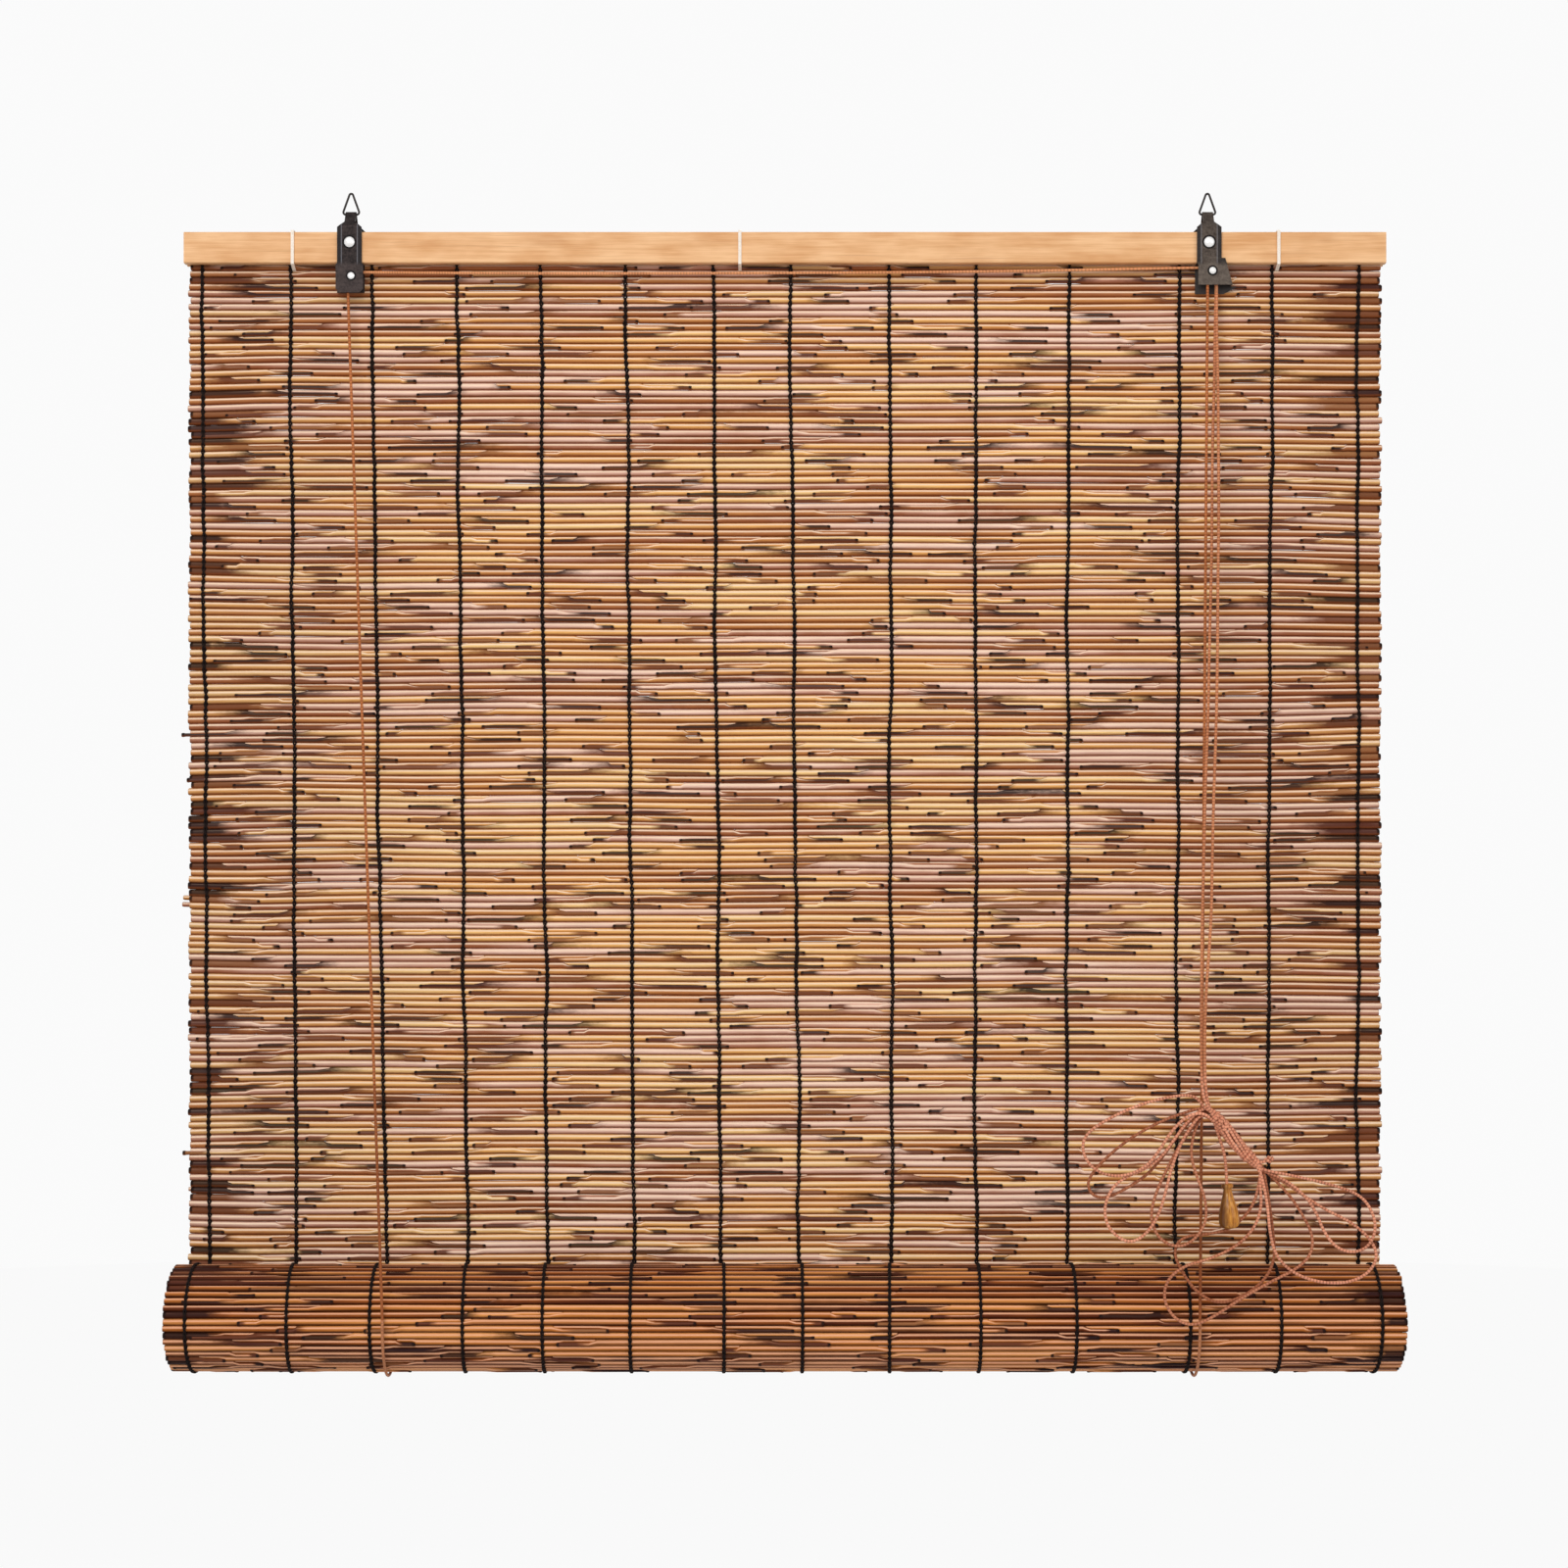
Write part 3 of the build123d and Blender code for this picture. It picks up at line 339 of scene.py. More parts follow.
right_loop_four = (
    (0.3879, -0.0980, -0.8166),
    (0.3912, -0.0975, -0.8371),
    (0.3936, -0.0970, -0.8569),
    (0.3945, -0.0965, -0.8759),
    (0.3858, -0.0965, -0.8925),
    (0.3676, -0.0965, -0.9059),
    (0.3479, -0.0965, -0.9106),
    (0.3314, -0.0965, -0.9012),
    (0.3195, -0.0965, -0.8846),
    (0.3124, -0.0965, -0.8680),
    (0.3203, -0.0965, -0.8562),
    (0.3385, -0.0965, -0.8546),
    (0.3558, -0.0965, -0.8515),
    (0.3698, -0.0981, -0.8410),
    (0.3782, -0.0996, -0.8274),
    (0.3812, -0.1012, -0.8130),
)
pass_eight = (
    (0.3832, -0.1027, -0.7966),
    (0.3747, -0.1017, -0.7893),
    (0.3662, -0.1003, -0.7770),
    (0.3573, -0.0985, -0.7658),
    (0.3477, -0.0979, -0.7571),
    (0.3372, -0.0976, -0.7533),
)
left_loop_four = (
    (0.3272, -0.0980, -0.7693),
    (0.3161, -0.0984, -0.7850),
    (0.3066, -0.0989, -0.8031),
    (0.2987, -0.0993, -0.8203),
    (0.2940, -0.0993, -0.8369),
    (0.2971, -0.0993, -0.8519),
    (0.3066, -0.0993, -0.8621),
    (0.3200, -0.0993, -0.8645),
    (0.3326, -0.0993, -0.8558),
    (0.3397, -0.0993, -0.8416),
    (0.3381, -0.0993, -0.8243),
    (0.3310, -0.0993, -0.8069),
    (0.3263, -0.0989, -0.7897),
    (0.3287, -0.0984, -0.7740),
    (0.3328, -0.0980, -0.7640),
)
pass_nine = (
    (0.3372, -0.0976, -0.7562),
    (0.3442, -0.0970, -0.7567),
    (0.3510, -0.0966, -0.7622),
    (0.3578, -0.0965, -0.7694),
    (0.3656, -0.0972, -0.7782),
    (0.3750, -0.0993, -0.7896),
)
tail_end = (
    (0.3786, -0.1025, -0.7958),
    (0.3846, -0.1040, -0.7956),
    (0.3901, -0.1048, -0.7929),
)
bead_route = (
    (0.3440, -0.1010, -0.7570),
    (0.3464, -0.1010, -0.7680),
    (0.3503, -0.1008, -0.7790),
    (0.3536, -0.1006, -0.7900),
    (0.3548, -0.1006, -0.8010),
    (0.3556, -0.1006, -0.8165),
)


# Finishes
class Signal:
    """A value or colour inside a finish: sums on it add Math nodes."""

    def __init__(self, finish, socket):
        self.finish = finish
        self.socket = socket

    def __add__(self, other):
        return self.finish.sum("ADD", self, other)

    __radd__ = __add__

    def __sub__(self, other):
        return self.finish.sum("SUBTRACT", self, other)

    def __rsub__(self, other):
        return self.finish.sum("SUBTRACT", other, self)

    def __mul__(self, other):
        return self.finish.sum("MULTIPLY", self, other)

    __rmul__ = __mul__

    def __truediv__(self, other):
        return self.finish.sum("DIVIDE", self, other)

    def __pow__(self, other):
        return self.finish.sum("POWER", self, other)

    def __mod__(self, other):
        return self.finish.sum("FLOORED_MODULO", self, other)

    def __lt__(self, other):
        return self.finish.sum("LESS_THAN", self, other)

    def __gt__(self, other):
        return self.finish.sum("GREATER_THAN", self, other)

    def __abs__(self):
        return self.finish.sum("ABSOLUTE", self)


shader_sockets = {
    "base_color": "Base Color",
    "roughness": "Roughness",
    "metallic": "Metallic",
    "coat_weight": "Coat Weight",
    "coat_roughness": "Coat Roughness",
    "specular_ior_level": "Specular IOR Level",
}


class Finish:
    """A material, built node by node; plain values are set on its shader."""

    def __init__(self, name, **shader_values):
        self.material = bpy.data.materials.new(name)
        self.material.use_nodes = True
        self.tree = self.material.node_tree
        self.shader = self.tree.nodes["Principled BSDF"]
        for socket_name, value in shader_values.items():
            self.shader.inputs[shader_sockets[socket_name]].default_value = value

    def node(self, kind, settings=None, inputs=None, output=0):
        """A node of that kind, its settings made first, then its sockets; returns one output."""
        made = self.tree.nodes.new(kind)
        for setting, value in (settings or {}).items():
            if setting == "stops":
                ramp = made.color_ramp
                while len(ramp.elements) < len(value):
                    ramp.elements.new(1.0)
                for element, (place, colour) in zip(ramp.elements, value):
                    element.position = place
                    element.color = (*colour, 1.0)
            else:
                setattr(made, setting, value)
        for socket, value in (inputs or {}).items():
            self.feed(made.inputs[socket], value)
        return Signal(self, made.outputs[output])

    def feed(self, socket, value):
        if isinstance(value, Signal):
            self.tree.links.new(value.socket, socket)
        elif hasattr(value, "__len__") and socket.type == "RGBA" and len(value) == 3:
            socket.default_value = (*value, 1.0)
        else:
            socket.default_value = value

    def sum(self, operation, *values):
        return self.node("ShaderNodeMath", {"operation": operation}, dict(enumerate(values)))

    def limit(self, value):
        return self.node("ShaderNodeClamp", None, {0: value})

    def fade(self, value, low, high, start=0.0, end=1.0):
        """Start below low, end above high, and a smooth step between them."""
        return self.node(
            "ShaderNodeMapRange",
            {"interpolation_type": "SMOOTHSTEP"},
            {0: value, 1: low, 2: high, 3: start, 4: end},
        )

    def mix(self, share, first, second):
        return self.node("ShaderNodeMix", {"data_type": "RGBA"}, {0: share, 6: first, 7: second}, 2)

    def place(self):
        """The x, y and z of a point, in metres."""
        coordinates = self.node("ShaderNodeTexCoord", None, None, "Object")
        apart = self.node("ShaderNodeSeparateXYZ", None, {0: coordinates}).socket.node
        return [Signal(self, apart.outputs[axis]) for axis in range(3)]

    def along_cord(self):
        """A tube's own map: the share of a turn round it, and metres along it."""
        coordinates = self.node("ShaderNodeUVMap", {"uv_map": "UVMap"})
        apart = self.node("ShaderNodeSeparateXYZ", None, {0: coordinates}).socket.node
        return [Signal(self, apart.outputs[axis]) for axis in range(2)]

    def attribute(self, name):
        return self.node("ShaderNodeAttribute", {"attribute_name": name}, None, 2)

    def cloud(self, x, y, z, detail=2.0, roughness=0.5):
        """Soft noise from 0 to 1 at the place given."""
        place = self.node("ShaderNodeCombineXYZ", None, {0: x, 1: y, 2: z})
        values = {"Vector": place, "Scale": 1.0, "Detail": detail, "Roughness": roughness}
        return self.node("ShaderNodeTexNoise", None, values)

    def clear_rays(self):
        """1 for the camera's own rays, reflections and rays through glass, 0 for light that falls."""
        rays = self.node("ShaderNodeLightPath").socket.node
        camera_ray, glossy_ray, clear_ray = (
            Signal(self, rays.outputs[f"Is {kind} Ray"]) for kind in ("Camera", "Glossy", "Transmission")
        )
        return self.limit(camera_ray + glossy_ray + clear_ray)

    def colour(self, value):
        self.feed(self.shader.inputs["Base Color"], value)

    def roughness(self, value):
        self.feed(self.shader.inputs["Roughness"], value)

    def bump(self, height, distance, strength=1.0):
        """Relief: height from 0 to 1 stands for distance in metres."""
        values = {"Height": height, "Distance": distance, "Strength": strength}
        self.feed(self.shader.inputs["Normal"], self.node("ShaderNodeBump", None, values))


def reed_finish(name, tones, underside_shade_and_streak_tone, shade, painted_highlight_tone, painted_shade_tone, side_shade):
    """Split reed: each stalk has its own tone, browned towards a cut end, with a black node there; a painted
    highlight on each reed's upper part, painted shade on its underside and painted shade towards the sides
    and just below the rail.
    """
    finish = Finish(name, roughness=0.55, specular_ior_level=0.08)
    x, y, z = finish.place()
    seed = finish.attribute("reed_seed")
    height = finish.attribute("reed_height")
    browning = finish.attribute("reed_browning")
    tip = finish.attribute("reed_tip")
    fibres = finish.cloud(x * 45.0, y * 1500.0, z * 1500.0, 2.0, 0.6)
    drift = finish.cloud(x * 14.0, seed * 47.0, 0.0, 3.0, 0.6)
    patches = finish.cloud(x * 4.0, z * 14.0, 7.0, 2.0, 0.5)
    tone = finish.limit((seed * 7.31) % 1.0 * 1.1 + (drift - 0.5) * 0.4 + (patches - 0.5) * 0.7 - 0.05)
    ramp = finish.node("ShaderNodeValToRGB", {"stops": tones}, {0: tone})
    # Painted shade: the reeds are mixed towards a dark tone near the sides and just below the rail.
    aside = finish.fade(abs(x), 0.22, 0.48) * side_shade + finish.fade(z, -0.11, rail_foot) * side_shade
    base = finish.mix(finish.limit(aside * (0.4 + drift * 1.2)), ramp, painted_shade_tone)
    streaked = finish.mix(finish.limit(fibres * 1.8 - 0.75) * 0.45, base, underside_shade_and_streak_tone)

    ragged = finish.cloud(x * 150.0, seed * 71.0, height * 1.5, 2.0, 0.7)
    depth_of_brown = (seed * 91.7) % 1.0
    brown = finish.node(
        "ShaderNodeValToRGB",
        {"stops": [
            (0.0, (0.010, 0.006, 0.007)), (0.36, (0.024, 0.008, 0.009)), (0.50, (0.075, 0.019, 0.013)),
            (0.76, (0.16, 0.048, 0.022)), (1.0, (0.32, 0.13, 0.050)),
        ]},
        {0: depth_of_brown},
    )
    stretch = finish.limit(finish.limit(browning) * 2.6 + (ragged - 0.5) * 0.8 * (browning > 0.0) - 0.10)
    stained = finish.mix(stretch * 0.94, streaked, brown)
    node = finish.fade(tip, 0.0018, 0.0030, 1.0, 0.0)
    dotted = finish.mix(node * 0.93, stained, (0.010, 0.004, 0.003))
    # Painted highlight: the upper part of each reed is mixed towards a pale tone, where light would fall.
    crown = finish.fade(abs(height - 0.45), 0.0, 0.42, 1.0, 0.0) * (0.62 + drift * 0.6)
    lit = finish.mix(finish.limit(crown - stretch * 0.85 - node), dotted, painted_highlight_tone)
    # Painted shade: the underside of each reed is mixed towards a dark tone, the same tone that marks the
    # fibre streaks.
    under = finish.fade(height, -0.85, 0.05, 1.0, 0.0)
    finish.colour(finish.mix(under * shade, lit, underside_shade_and_streak_tone))
    finish.roughness(0.45 + fibres * 0.25)
    finish.bump(fibres, 0.0002, 0.4)
    return finish


def rail_finish(name, pale, warm, streak):
    """Planed slat: pale wood with long grain and soft mottling."""
    finish = Finish(name, roughness=0.55)
    x, y, z = finish.place()
    grain = finish.cloud(x * 14.0, y * 300.0, z * 420.0, 3.0, 0.6)
    fine = finish.cloud(x * 60.0, y * 1500.0, z * 2200.0, 2.0, 0.6)
    mottle = finish.cloud(x * 24.0, y * 60.0, z * 60.0, 2.0, 0.5)
    tone = finish.limit(grain * 0.9 + mottle * 1.1 + fine * 0.4 - 0.72)
    base = finish.node("ShaderNodeValToRGB", {"stops": [(0.2, warm), (0.7, pale)]}, {0: tone})
    lines = finish.fade(finish.cloud(x * 5.0, 3.0, z * 520.0 + mottle * 1.5, 2.0, 0.6), 0.6, 0.72)
    blotch = finish.fade(finish.cloud(x * 9.0, y * 30.0, z * 38.0, 3.0, 0.6), 0.52, 0.75)
    finish.colour(finish.mix(finish.limit(lines * 0.35 + blotch * 0.30), base, streak))
    finish.roughness(0.5 + fine * 0.2)
    finish.bump(fine + grain, 0.0003, 0.35)
    return finish


def cord_finish(name, bright, deep, faded):
    """Laid cord of three strands, with painted shade between its strands, patchy in tone, faded in the hank
    and with painted shade at the hank's back.
    """
    finish = Finish(name, roughness=0.6, specular_ior_level=0.15)
    turn, run = finish.along_cord()
    y, z = finish.place()[1:]
    lay = (turn * 3.0 + run / strand_pitch) % 1.0
    crown = finish.sum("SINE", lay * pi)
    yarns = finish.sum("SINE", (turn * 30.0 - run / strand_pitch * 4.0) * (2 * pi))
    wear = finish.cloud(turn * 2.0, run * 60.0, 0.0, 3.0, 0.6)
    patch = finish.cloud(run * 22.0, z * 9.0, 5.0, 2.0, 0.5)
    # Painted shade: each strand is lighter at its crown and darker where it meets the next; shade mixes this
    # with real wear and patches of tone.
    shade = finish.limit(crown * 0.55 + yarns * 0.06 + wear * 0.6 + patch * 0.8 - 0.42)
    # Painted shade: strands at the hank's back are darkened and get less of the faded tone.
    painted_shade_at_back = finish.fade(y, -0.1035, -0.0975)
    hank = finish.fade(z, hank_top, hank_top + 0.035, 1.0, 0.0) * (1.0 - painted_shade_at_back * 0.85)
    tone = finish.mix(hank, bright, faded)
    finish.colour(finish.mix(shade * (1.0 - painted_shade_at_back * (z < hank_top) * 0.55), deep, tone))
    finish.bump(crown + yarns * 0.12, 0.0003, 0.6)
    return finish


def plain_cord_finish(name, bright, deep):
    """The same cord where it has no map of its own."""
    finish = Finish(name, roughness=0.65, specular_ior_level=0.15)
    x, y, z = finish.place()
    yarns = finish.cloud(x * 900.0, y * 900.0, z * 900.0, 2.0, 0.6)
    finish.colour(finish.mix(finish.limit(yarns * 1.6 - 0.3), deep, bright))
    finish.bump(yarns, 0.0004, 0.7)
    return finish


def metal_finish(name, dull, bright, rivets, centre, half):
    """Painted steel strip: mottled, with painted shade and a painted highlight line along its edges, painted
    paler below the rail, and a painted shade ring at each rivet.
    """
    finish = Finish(name, metallic=0.45, roughness=0.5, specular_ior_level=0.15)
    x, y, z = finish.place()
    scuff = finish.cloud(x * 160.0, y * 160.0, z * 240.0, 4.0, 0.65)
    specks = finish.cloud(x * 700.0, y * 700.0, z * 700.0, 2.0, 0.6)
    # Painted light: the strip is painted paler below the rail, and its edge shade and highlight stop there.
    below = finish.fade(z, rail_foot - 0.003, rail_foot + 0.002, 1.0, 0.0)
    tone = finish.limit(scuff * 1.3 + specks * 0.8 - 0.80 + below * 0.22)
    base = finish.mix(tone, dull, bright)
    aside = abs(x - centre)
    # Painted shade along the strip's edges, and a painted highlight line just inside it.
    painted_edge_shade = finish.fade(aside, half - 0.0034, half - 0.0026)
    glint = finish.fade(abs(aside - (half - 0.0036)), 0.0, 0.0007, 1.0, 0.0)
    base = finish.mix(painted_edge_shade * (1.0 - below) * 0.7, base, (0.012, 0.011, 0.012))
    base = finish.mix(glint * (1.0 - below) * 0.45, base, (0.20, 0.20, 0.22))
    for place_x, place_z, radius in rivets:
        away = finish.sum("SQRT", (x - place_x) ** 2.0 + (z - place_z) ** 2.0)
        # Painted shade: a dark ring round each rivet head.
        ring = finish.fade(away, radius + 0.0010, radius + 0.0020, 1.0, 0.0)
        base = finish.mix(ring * 0.95, base, (0.004, 0.003, 0.003))
    finish.colour(base)
    finish.roughness(0.38 + scuff * 0.3)
    finish.bump(specks + scuff, 0.0002, 0.35)
    return finish


def worn_metal_finish(name, dull, bright, metallic, roughness):
    finish = Finish(name, metallic=metallic, roughness=roughness)
    x, y, z = finish.place()
    scuff = finish.cloud(x * 400.0, y * 400.0, z * 400.0, 4.0, 0.6)
    finish.colour(finish.mix(finish.limit(scuff * 1.6 - 0.3), dull, bright))
    finish.roughness(roughness - 0.1 + scuff * 0.25)
    finish.bump(scuff, 0.0002, 0.3)
    return finish


def turned_wood_finish(name, middle_x):
    """Varnished, turned wood: golden, with grain, rings from the lathe and painted shade on its left side.
    """
    finish = Finish(name, roughness=0.3, specular_ior_level=0.1, coat_weight=0.35, coat_roughness=0.08)
    x, y, z = finish.place()
    grain = finish.cloud(x * 600.0, y * 600.0, z * 60.0, 3.0, 0.6)
    rings = finish.sum("SINE", z * (2 * pi / 0.0016))
    base = finish.node(
        "ShaderNodeValToRGB",
        {"stops": [(0.1, (0.16, 0.040, 0.005)), (0.5, (0.56, 0.21, 0.024)), (0.9, (0.90, 0.45, 0.085))]},
        {0: finish.limit(grain * 1.3 - 0.15)},
    )
    # Painted shade: the pull's left side is mixed towards a dark brown.
    painted_left_shade = finish.fade(x + grain * 0.003, middle_x - 0.0040, middle_x + 0.0035, 1.0, 0.0)
    finish.colour(finish.mix(painted_left_shade * 0.85, base, (0.060, 0.014, 0.004)))
    finish.bump(rings * 0.5 + grain, 0.0001, 0.25)
    return finish


def thread_finish(name):
    finish = Finish(name, roughness=0.85, specular_ior_level=0.08)
    x, y, z = finish.place()
    fuzz = finish.cloud(x * 1500.0, y * 1500.0, z * 1500.0, 2.0, 0.7)
    finish.colour(finish.mix(finish.limit(fuzz * 1.5 - 0.4), (0.006, 0.004, 0.004), (0.028, 0.017, 0.014)))
    finish.bump(fuzz, 0.0003, 0.6)
    return finish


mat_tones = [
    (0.0, (1.0, 0.64, 0.26)), (0.20, (0.94, 0.49, 0.15)), (0.40, (0.76, 0.34, 0.10)),
    (0.56, (0.56, 0.215, 0.065)), (0.68, (0.38, 0.13, 0.058)), (0.78, (0.66, 0.34, 0.24)),
    (1.0, (0.96, 0.64, 0.50)),
]
roll_tones = [
    (0.0, (0.86, 0.35, 0.095)), (0.30, (0.66, 0.215, 0.040)), (0.55, (0.41, 0.108, 0.018)),
    (0.72, (0.16, 0.033, 0.007)), (0.84, (0.070, 0.015, 0.006)), (1.0, (0.56, 0.20, 0.060)),
]
reed_of_mat = reed_finish(
    "reed", mat_tones, (0.24, 0.060, 0.014), 0.85, (1.0, 0.76, 0.56), (0.30, 0.105, 0.055), 0.38
)
reed_of_roll = reed_finish(
    "roll_reed", roll_tones, (0.040, 0.007, 0.002), 0.97, (0.96, 0.49, 0.29), (0.22, 0.055, 0.013), 0.25
)
rail_wood = rail_finish("rail_wood", (0.88, 0.52, 0.26), (0.68, 0.325, 0.12), (0.50, 0.22, 0.08))
batten_wood = rail_finish("batten_wood", (0.50, 0.26, 0.11), (0.34, 0.15, 0.06), (0.16, 0.06, 0.02))
warp_thread = thread_finish("warp_thread")
copper_cord = cord_finish("copper_cord", (0.74, 0.29, 0.13), (0.20, 0.042, 0.016), (1.0, 0.43, 0.26))
lift_cord = cord_finish("lift_cord", (0.60, 0.20, 0.065), (0.20, 0.050, 0.016), (0.60, 0.20, 0.065))
cross_cord = cord_finish("cross_cord", (0.86, 0.38, 0.17), (0.36, 0.12, 0.045), (0.86, 0.38, 0.17))
# The back lift cords are the same cord as the front ones, painted near black as shade.
painted_shade_back_cord = cord_finish("painted_shade_back_cord", (0.07, 0.028, 0.016), (0.012, 0.006, 0.005), (0.07, 0.028, 0.016))
knot_cord = plain_cord_finish("knot_cord", (0.72, 0.30, 0.14), (0.26, 0.09, 0.04))
tie_cord = plain_cord_finish("tie_cord", (1.0, 0.93, 0.84), (0.86, 0.72, 0.58))
left_metal = metal_finish(
    "left_metal", (0.006, 0.004, 0.004), (0.076, 0.056, 0.052),
    ((-0.362, -0.0412, 0.0043), (-0.3606, -0.0693, 0.0028)), -0.362, 0.0102,
)
right_metal = metal_finish(
    "right_metal", (0.034, 0.024, 0.019), (0.160, 0.128, 0.104),
    ((0.3526, -0.0412, 0.0043), (0.3554, -0.065, 0.0028)), 0.3526, 0.0102,
)
dark_metal = worn_metal_finish("dark_metal", (0.005, 0.004, 0.004), (0.028, 0.018, 0.014), 0.4, 0.5)
bright_rivet = worn_metal_finish("bright_rivet", (0.78, 0.76, 0.74), (0.98, 0.97, 0.95), 0.4, 0.35)
pulley_plastic = worn_metal_finish("pulley_plastic", (0.10, 0.09, 0.08), (0.30, 0.26, 0.22), 0.0, 0.45)
pull_wood = turned_wood_finish("pull_wood", 0.3566)


def add_piece(name, mesh, finish):
    """A finished mesh as a piece at the origin, with its material."""
    piece = bpy.data.objects.new(name, mesh)
    bpy.context.collection.objects.link(piece)
    mesh.materials.clear()
    mesh.materials.append(finish.material)
    return piece


# Camera
camera = bpy.data.objects.new("camera", bpy.data.cameras.new("camera"))
bpy.context.collection.objects.link(camera)
camera.location = camera_place
camera.rotation_euler = (pi / 2, 0, 0)
camera.data.lens = camera_lens
camera.data.sensor_width = 36.0
camera.data.clip_end = 50.0
bpy.context.scene.camera = camera


# Cords
def cord_line(name, route):
    """The smooth line of a cord, with its route as control points."""
    curve = bpy.data.curves.new(name, "CURVE")
    curve.dimensions = "3D"
    curve.resolution_u = 12
    spline = curve.splines.new("NURBS")
    spline.points.add(len(route) - 1)
    for point, place in zip(spline.points, route):
        point.co = (*place, 1.0)
    spline.order_u = 3
    spline.use_endpoint_u = True
    return curve


def length_along(path):
    run = [0.0]
    for first, second in zip(path, path[1:]):
        run.append(run[-1] + (second - first).length)
    return run


def cord_tube(name, route, diameter, sides=10):
    """A round tube on the cord's line; its map counts turns one way and metres the other."""
    curve = cord_line(name, route)
    holder = bpy.data.objects.new(name + "_line", curve)
    path = [vertex.co.copy() for vertex in bpy.data.meshes.new_from_object(holder).vertices]
    run = length_along(path)
    curve.bevel_depth = diameter / 2
    curve.bevel_resolution = (sides - 4) // 2
    curve.use_fill_caps = True
    tube = bpy.data.meshes.new_from_object(holder)
    tube.name = name
    ring = len(tube.vertices) // len(path)
    map_of_tube = tube.uv_layers["UVMap"].data
    for loop in tube.loops:
        map_of_tube[loop.index].uv.y = run[min(loop.vertex_index // ring, len(run) - 1)]
    for face in tube.polygons:
        face.use_smooth = len(face.vertices) == 4
    bpy.data.objects.remove(holder)
    bpy.data.curves.remove(curve)
    return tube, path, run[-1]


long_route = (
    left_pull_route + pass_one
    + right_loop_one + pass_two + left_loop_one + pass_three
    + right_loop_two + pass_four + left_loop_two + pass_five
    + right_loop_three + pass_six + left_loop_three + pass_seven
    + right_loop_four + pass_eight + left_loop_four + pass_nine
    + tail_end
)
mesh, long_path, long_length = cord_tube("long_pull_cord", long_route, cord_diameter)
long_pull_cord = add_piece("long_pull_cord", mesh, copper_cord)
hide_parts("pull_cord_left", "left_loops", "right_loops")
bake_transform(long_pull_cord, "blind", "pull_cords", left_pull_route[0], (0.3353, -0.0990, -0.7370))

short_route = right_pull_route + bead_route
mesh, short_path, short_length = cord_tube("short_pull_cord", short_route, cord_diameter)
short_pull_cord = add_piece("short_pull_cord", mesh, copper_cord)
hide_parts("pull_cord_right", "bead_cord")
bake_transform(short_pull_cord, "blind", "pull_cords", right_pull_route[0], right_pull_route[-1])


def wound_turns(top, foot, radius, turns, wobble):
    """Turns of cord round the line from top to foot, eight points to a turn."""
    top = Vector(top)
    foot = Vector(foot)
    axis = (foot - top).normalized()
    across = axis.cross(Vector((0, 1, 0))).normalized()
    deep = axis.cross(across)
    places = []
    count = int(turns * 8)
    for index in range(count + 1):
        angle = index * pi / 4
        lean = 1.0 + wobble * noise.noise(Vector((index * 0.37, 4.0, 0.0)))
        round_it = (across * cos(angle) + deep * sin(angle)) * radius * lean
        places.append(tuple(top + (foot - top) * (index / count) + round_it))
    return tuple(places)


def wound_piece(name, top, foot, radius, turns, wobble):
    mesh = cord_tube(name, wound_turns(top, foot, radius, turns, wobble), cord_diameter)[0]
    piece = add_piece(name, mesh, copper_cord)
    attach(piece, "pull_cords")
    return piece


main_knot_turns = wound_piece(
    "main_knot_turns", (0.3452, knot_y, -0.7590), (0.3550, knot_y, -0.7702), 0.0051, 2.75, 0.5
)
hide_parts("main_knot")
side_binding_turns = wound_piece(
    "side_binding_turns", (0.3690, knot_y, -0.7880), (0.3742, knot_y, -0.7936), 0.0051, 2.25, 0.4
)
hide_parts("side_binding")
tail_knot = wound_piece(
    "tail_knot", (0.3872, -0.1047, -0.7945), (0.3912, -0.1048, -0.7915), 0.0020, 1.75, 0.2
)


# Turned pull: half its profile as (radius, drop below its top), spun round its line
pull_top = (0.3556, knot_y, -0.8130)
pull_lean = -0.055
pull_profile = (
    (0.0012, 0.0012), (0.0014, 0.0002), (0.0030, 0.0), (0.0044, 0.0006), (0.0049, 0.0018),
    (0.0046, 0.0031), (0.0036, 0.0040), (0.0032, 0.0050), (0.0035, 0.0057), (0.0035, 0.0065),
    (0.0040, 0.0085), (0.0049, 0.0120), (0.0061, 0.0165), (0.0073, 0.0212), (0.0081, 0.0255),
    (0.0084, 0.0290), (0.0083, 0.0312), (0.0077, 0.0335), (0.0064, 0.0351), (0.0040, 0.0361),
    (0.0018, 0.0364), (0.0, 0.0365),
)
shape = bmesh.new()
line = [shape.verts.new((radius, 0.0, -drop)) for radius, drop in pull_profile]
edges = [shape.edges.new(pair) for pair in zip(line, line[1:])]
bmesh.ops.spin(
    shape, geom=line + edges, cent=(0, 0, 0), axis=(0, 0, 1), angle=2 * pi, steps=36, use_merge=True
)
bmesh.ops.remove_doubles(shape, verts=shape.verts, dist=0.00001)
bmesh.ops.holes_fill(shape, edges=[edge for edge in shape.edges if edge.is_boundary])
bmesh.ops.recalc_face_normals(shape, faces=shape.faces)
bmesh.ops.rotate(shape, verts=shape.verts, cent=(0, 0, 0), matrix=Matrix.Rotation(pull_lean, 3, "Y"))
bmesh.ops.translate(shape, verts=shape.verts, vec=pull_top)
for face in shape.faces:
    face.smooth = True
mesh = bpy.data.meshes.new("turned_pull")
shape.to_mesh(mesh)
shape.free()
turned_pull = add_piece("turned_pull", mesh, pull_wood)
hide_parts("wooden_pull")
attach(turned_pull, "pull_cords")


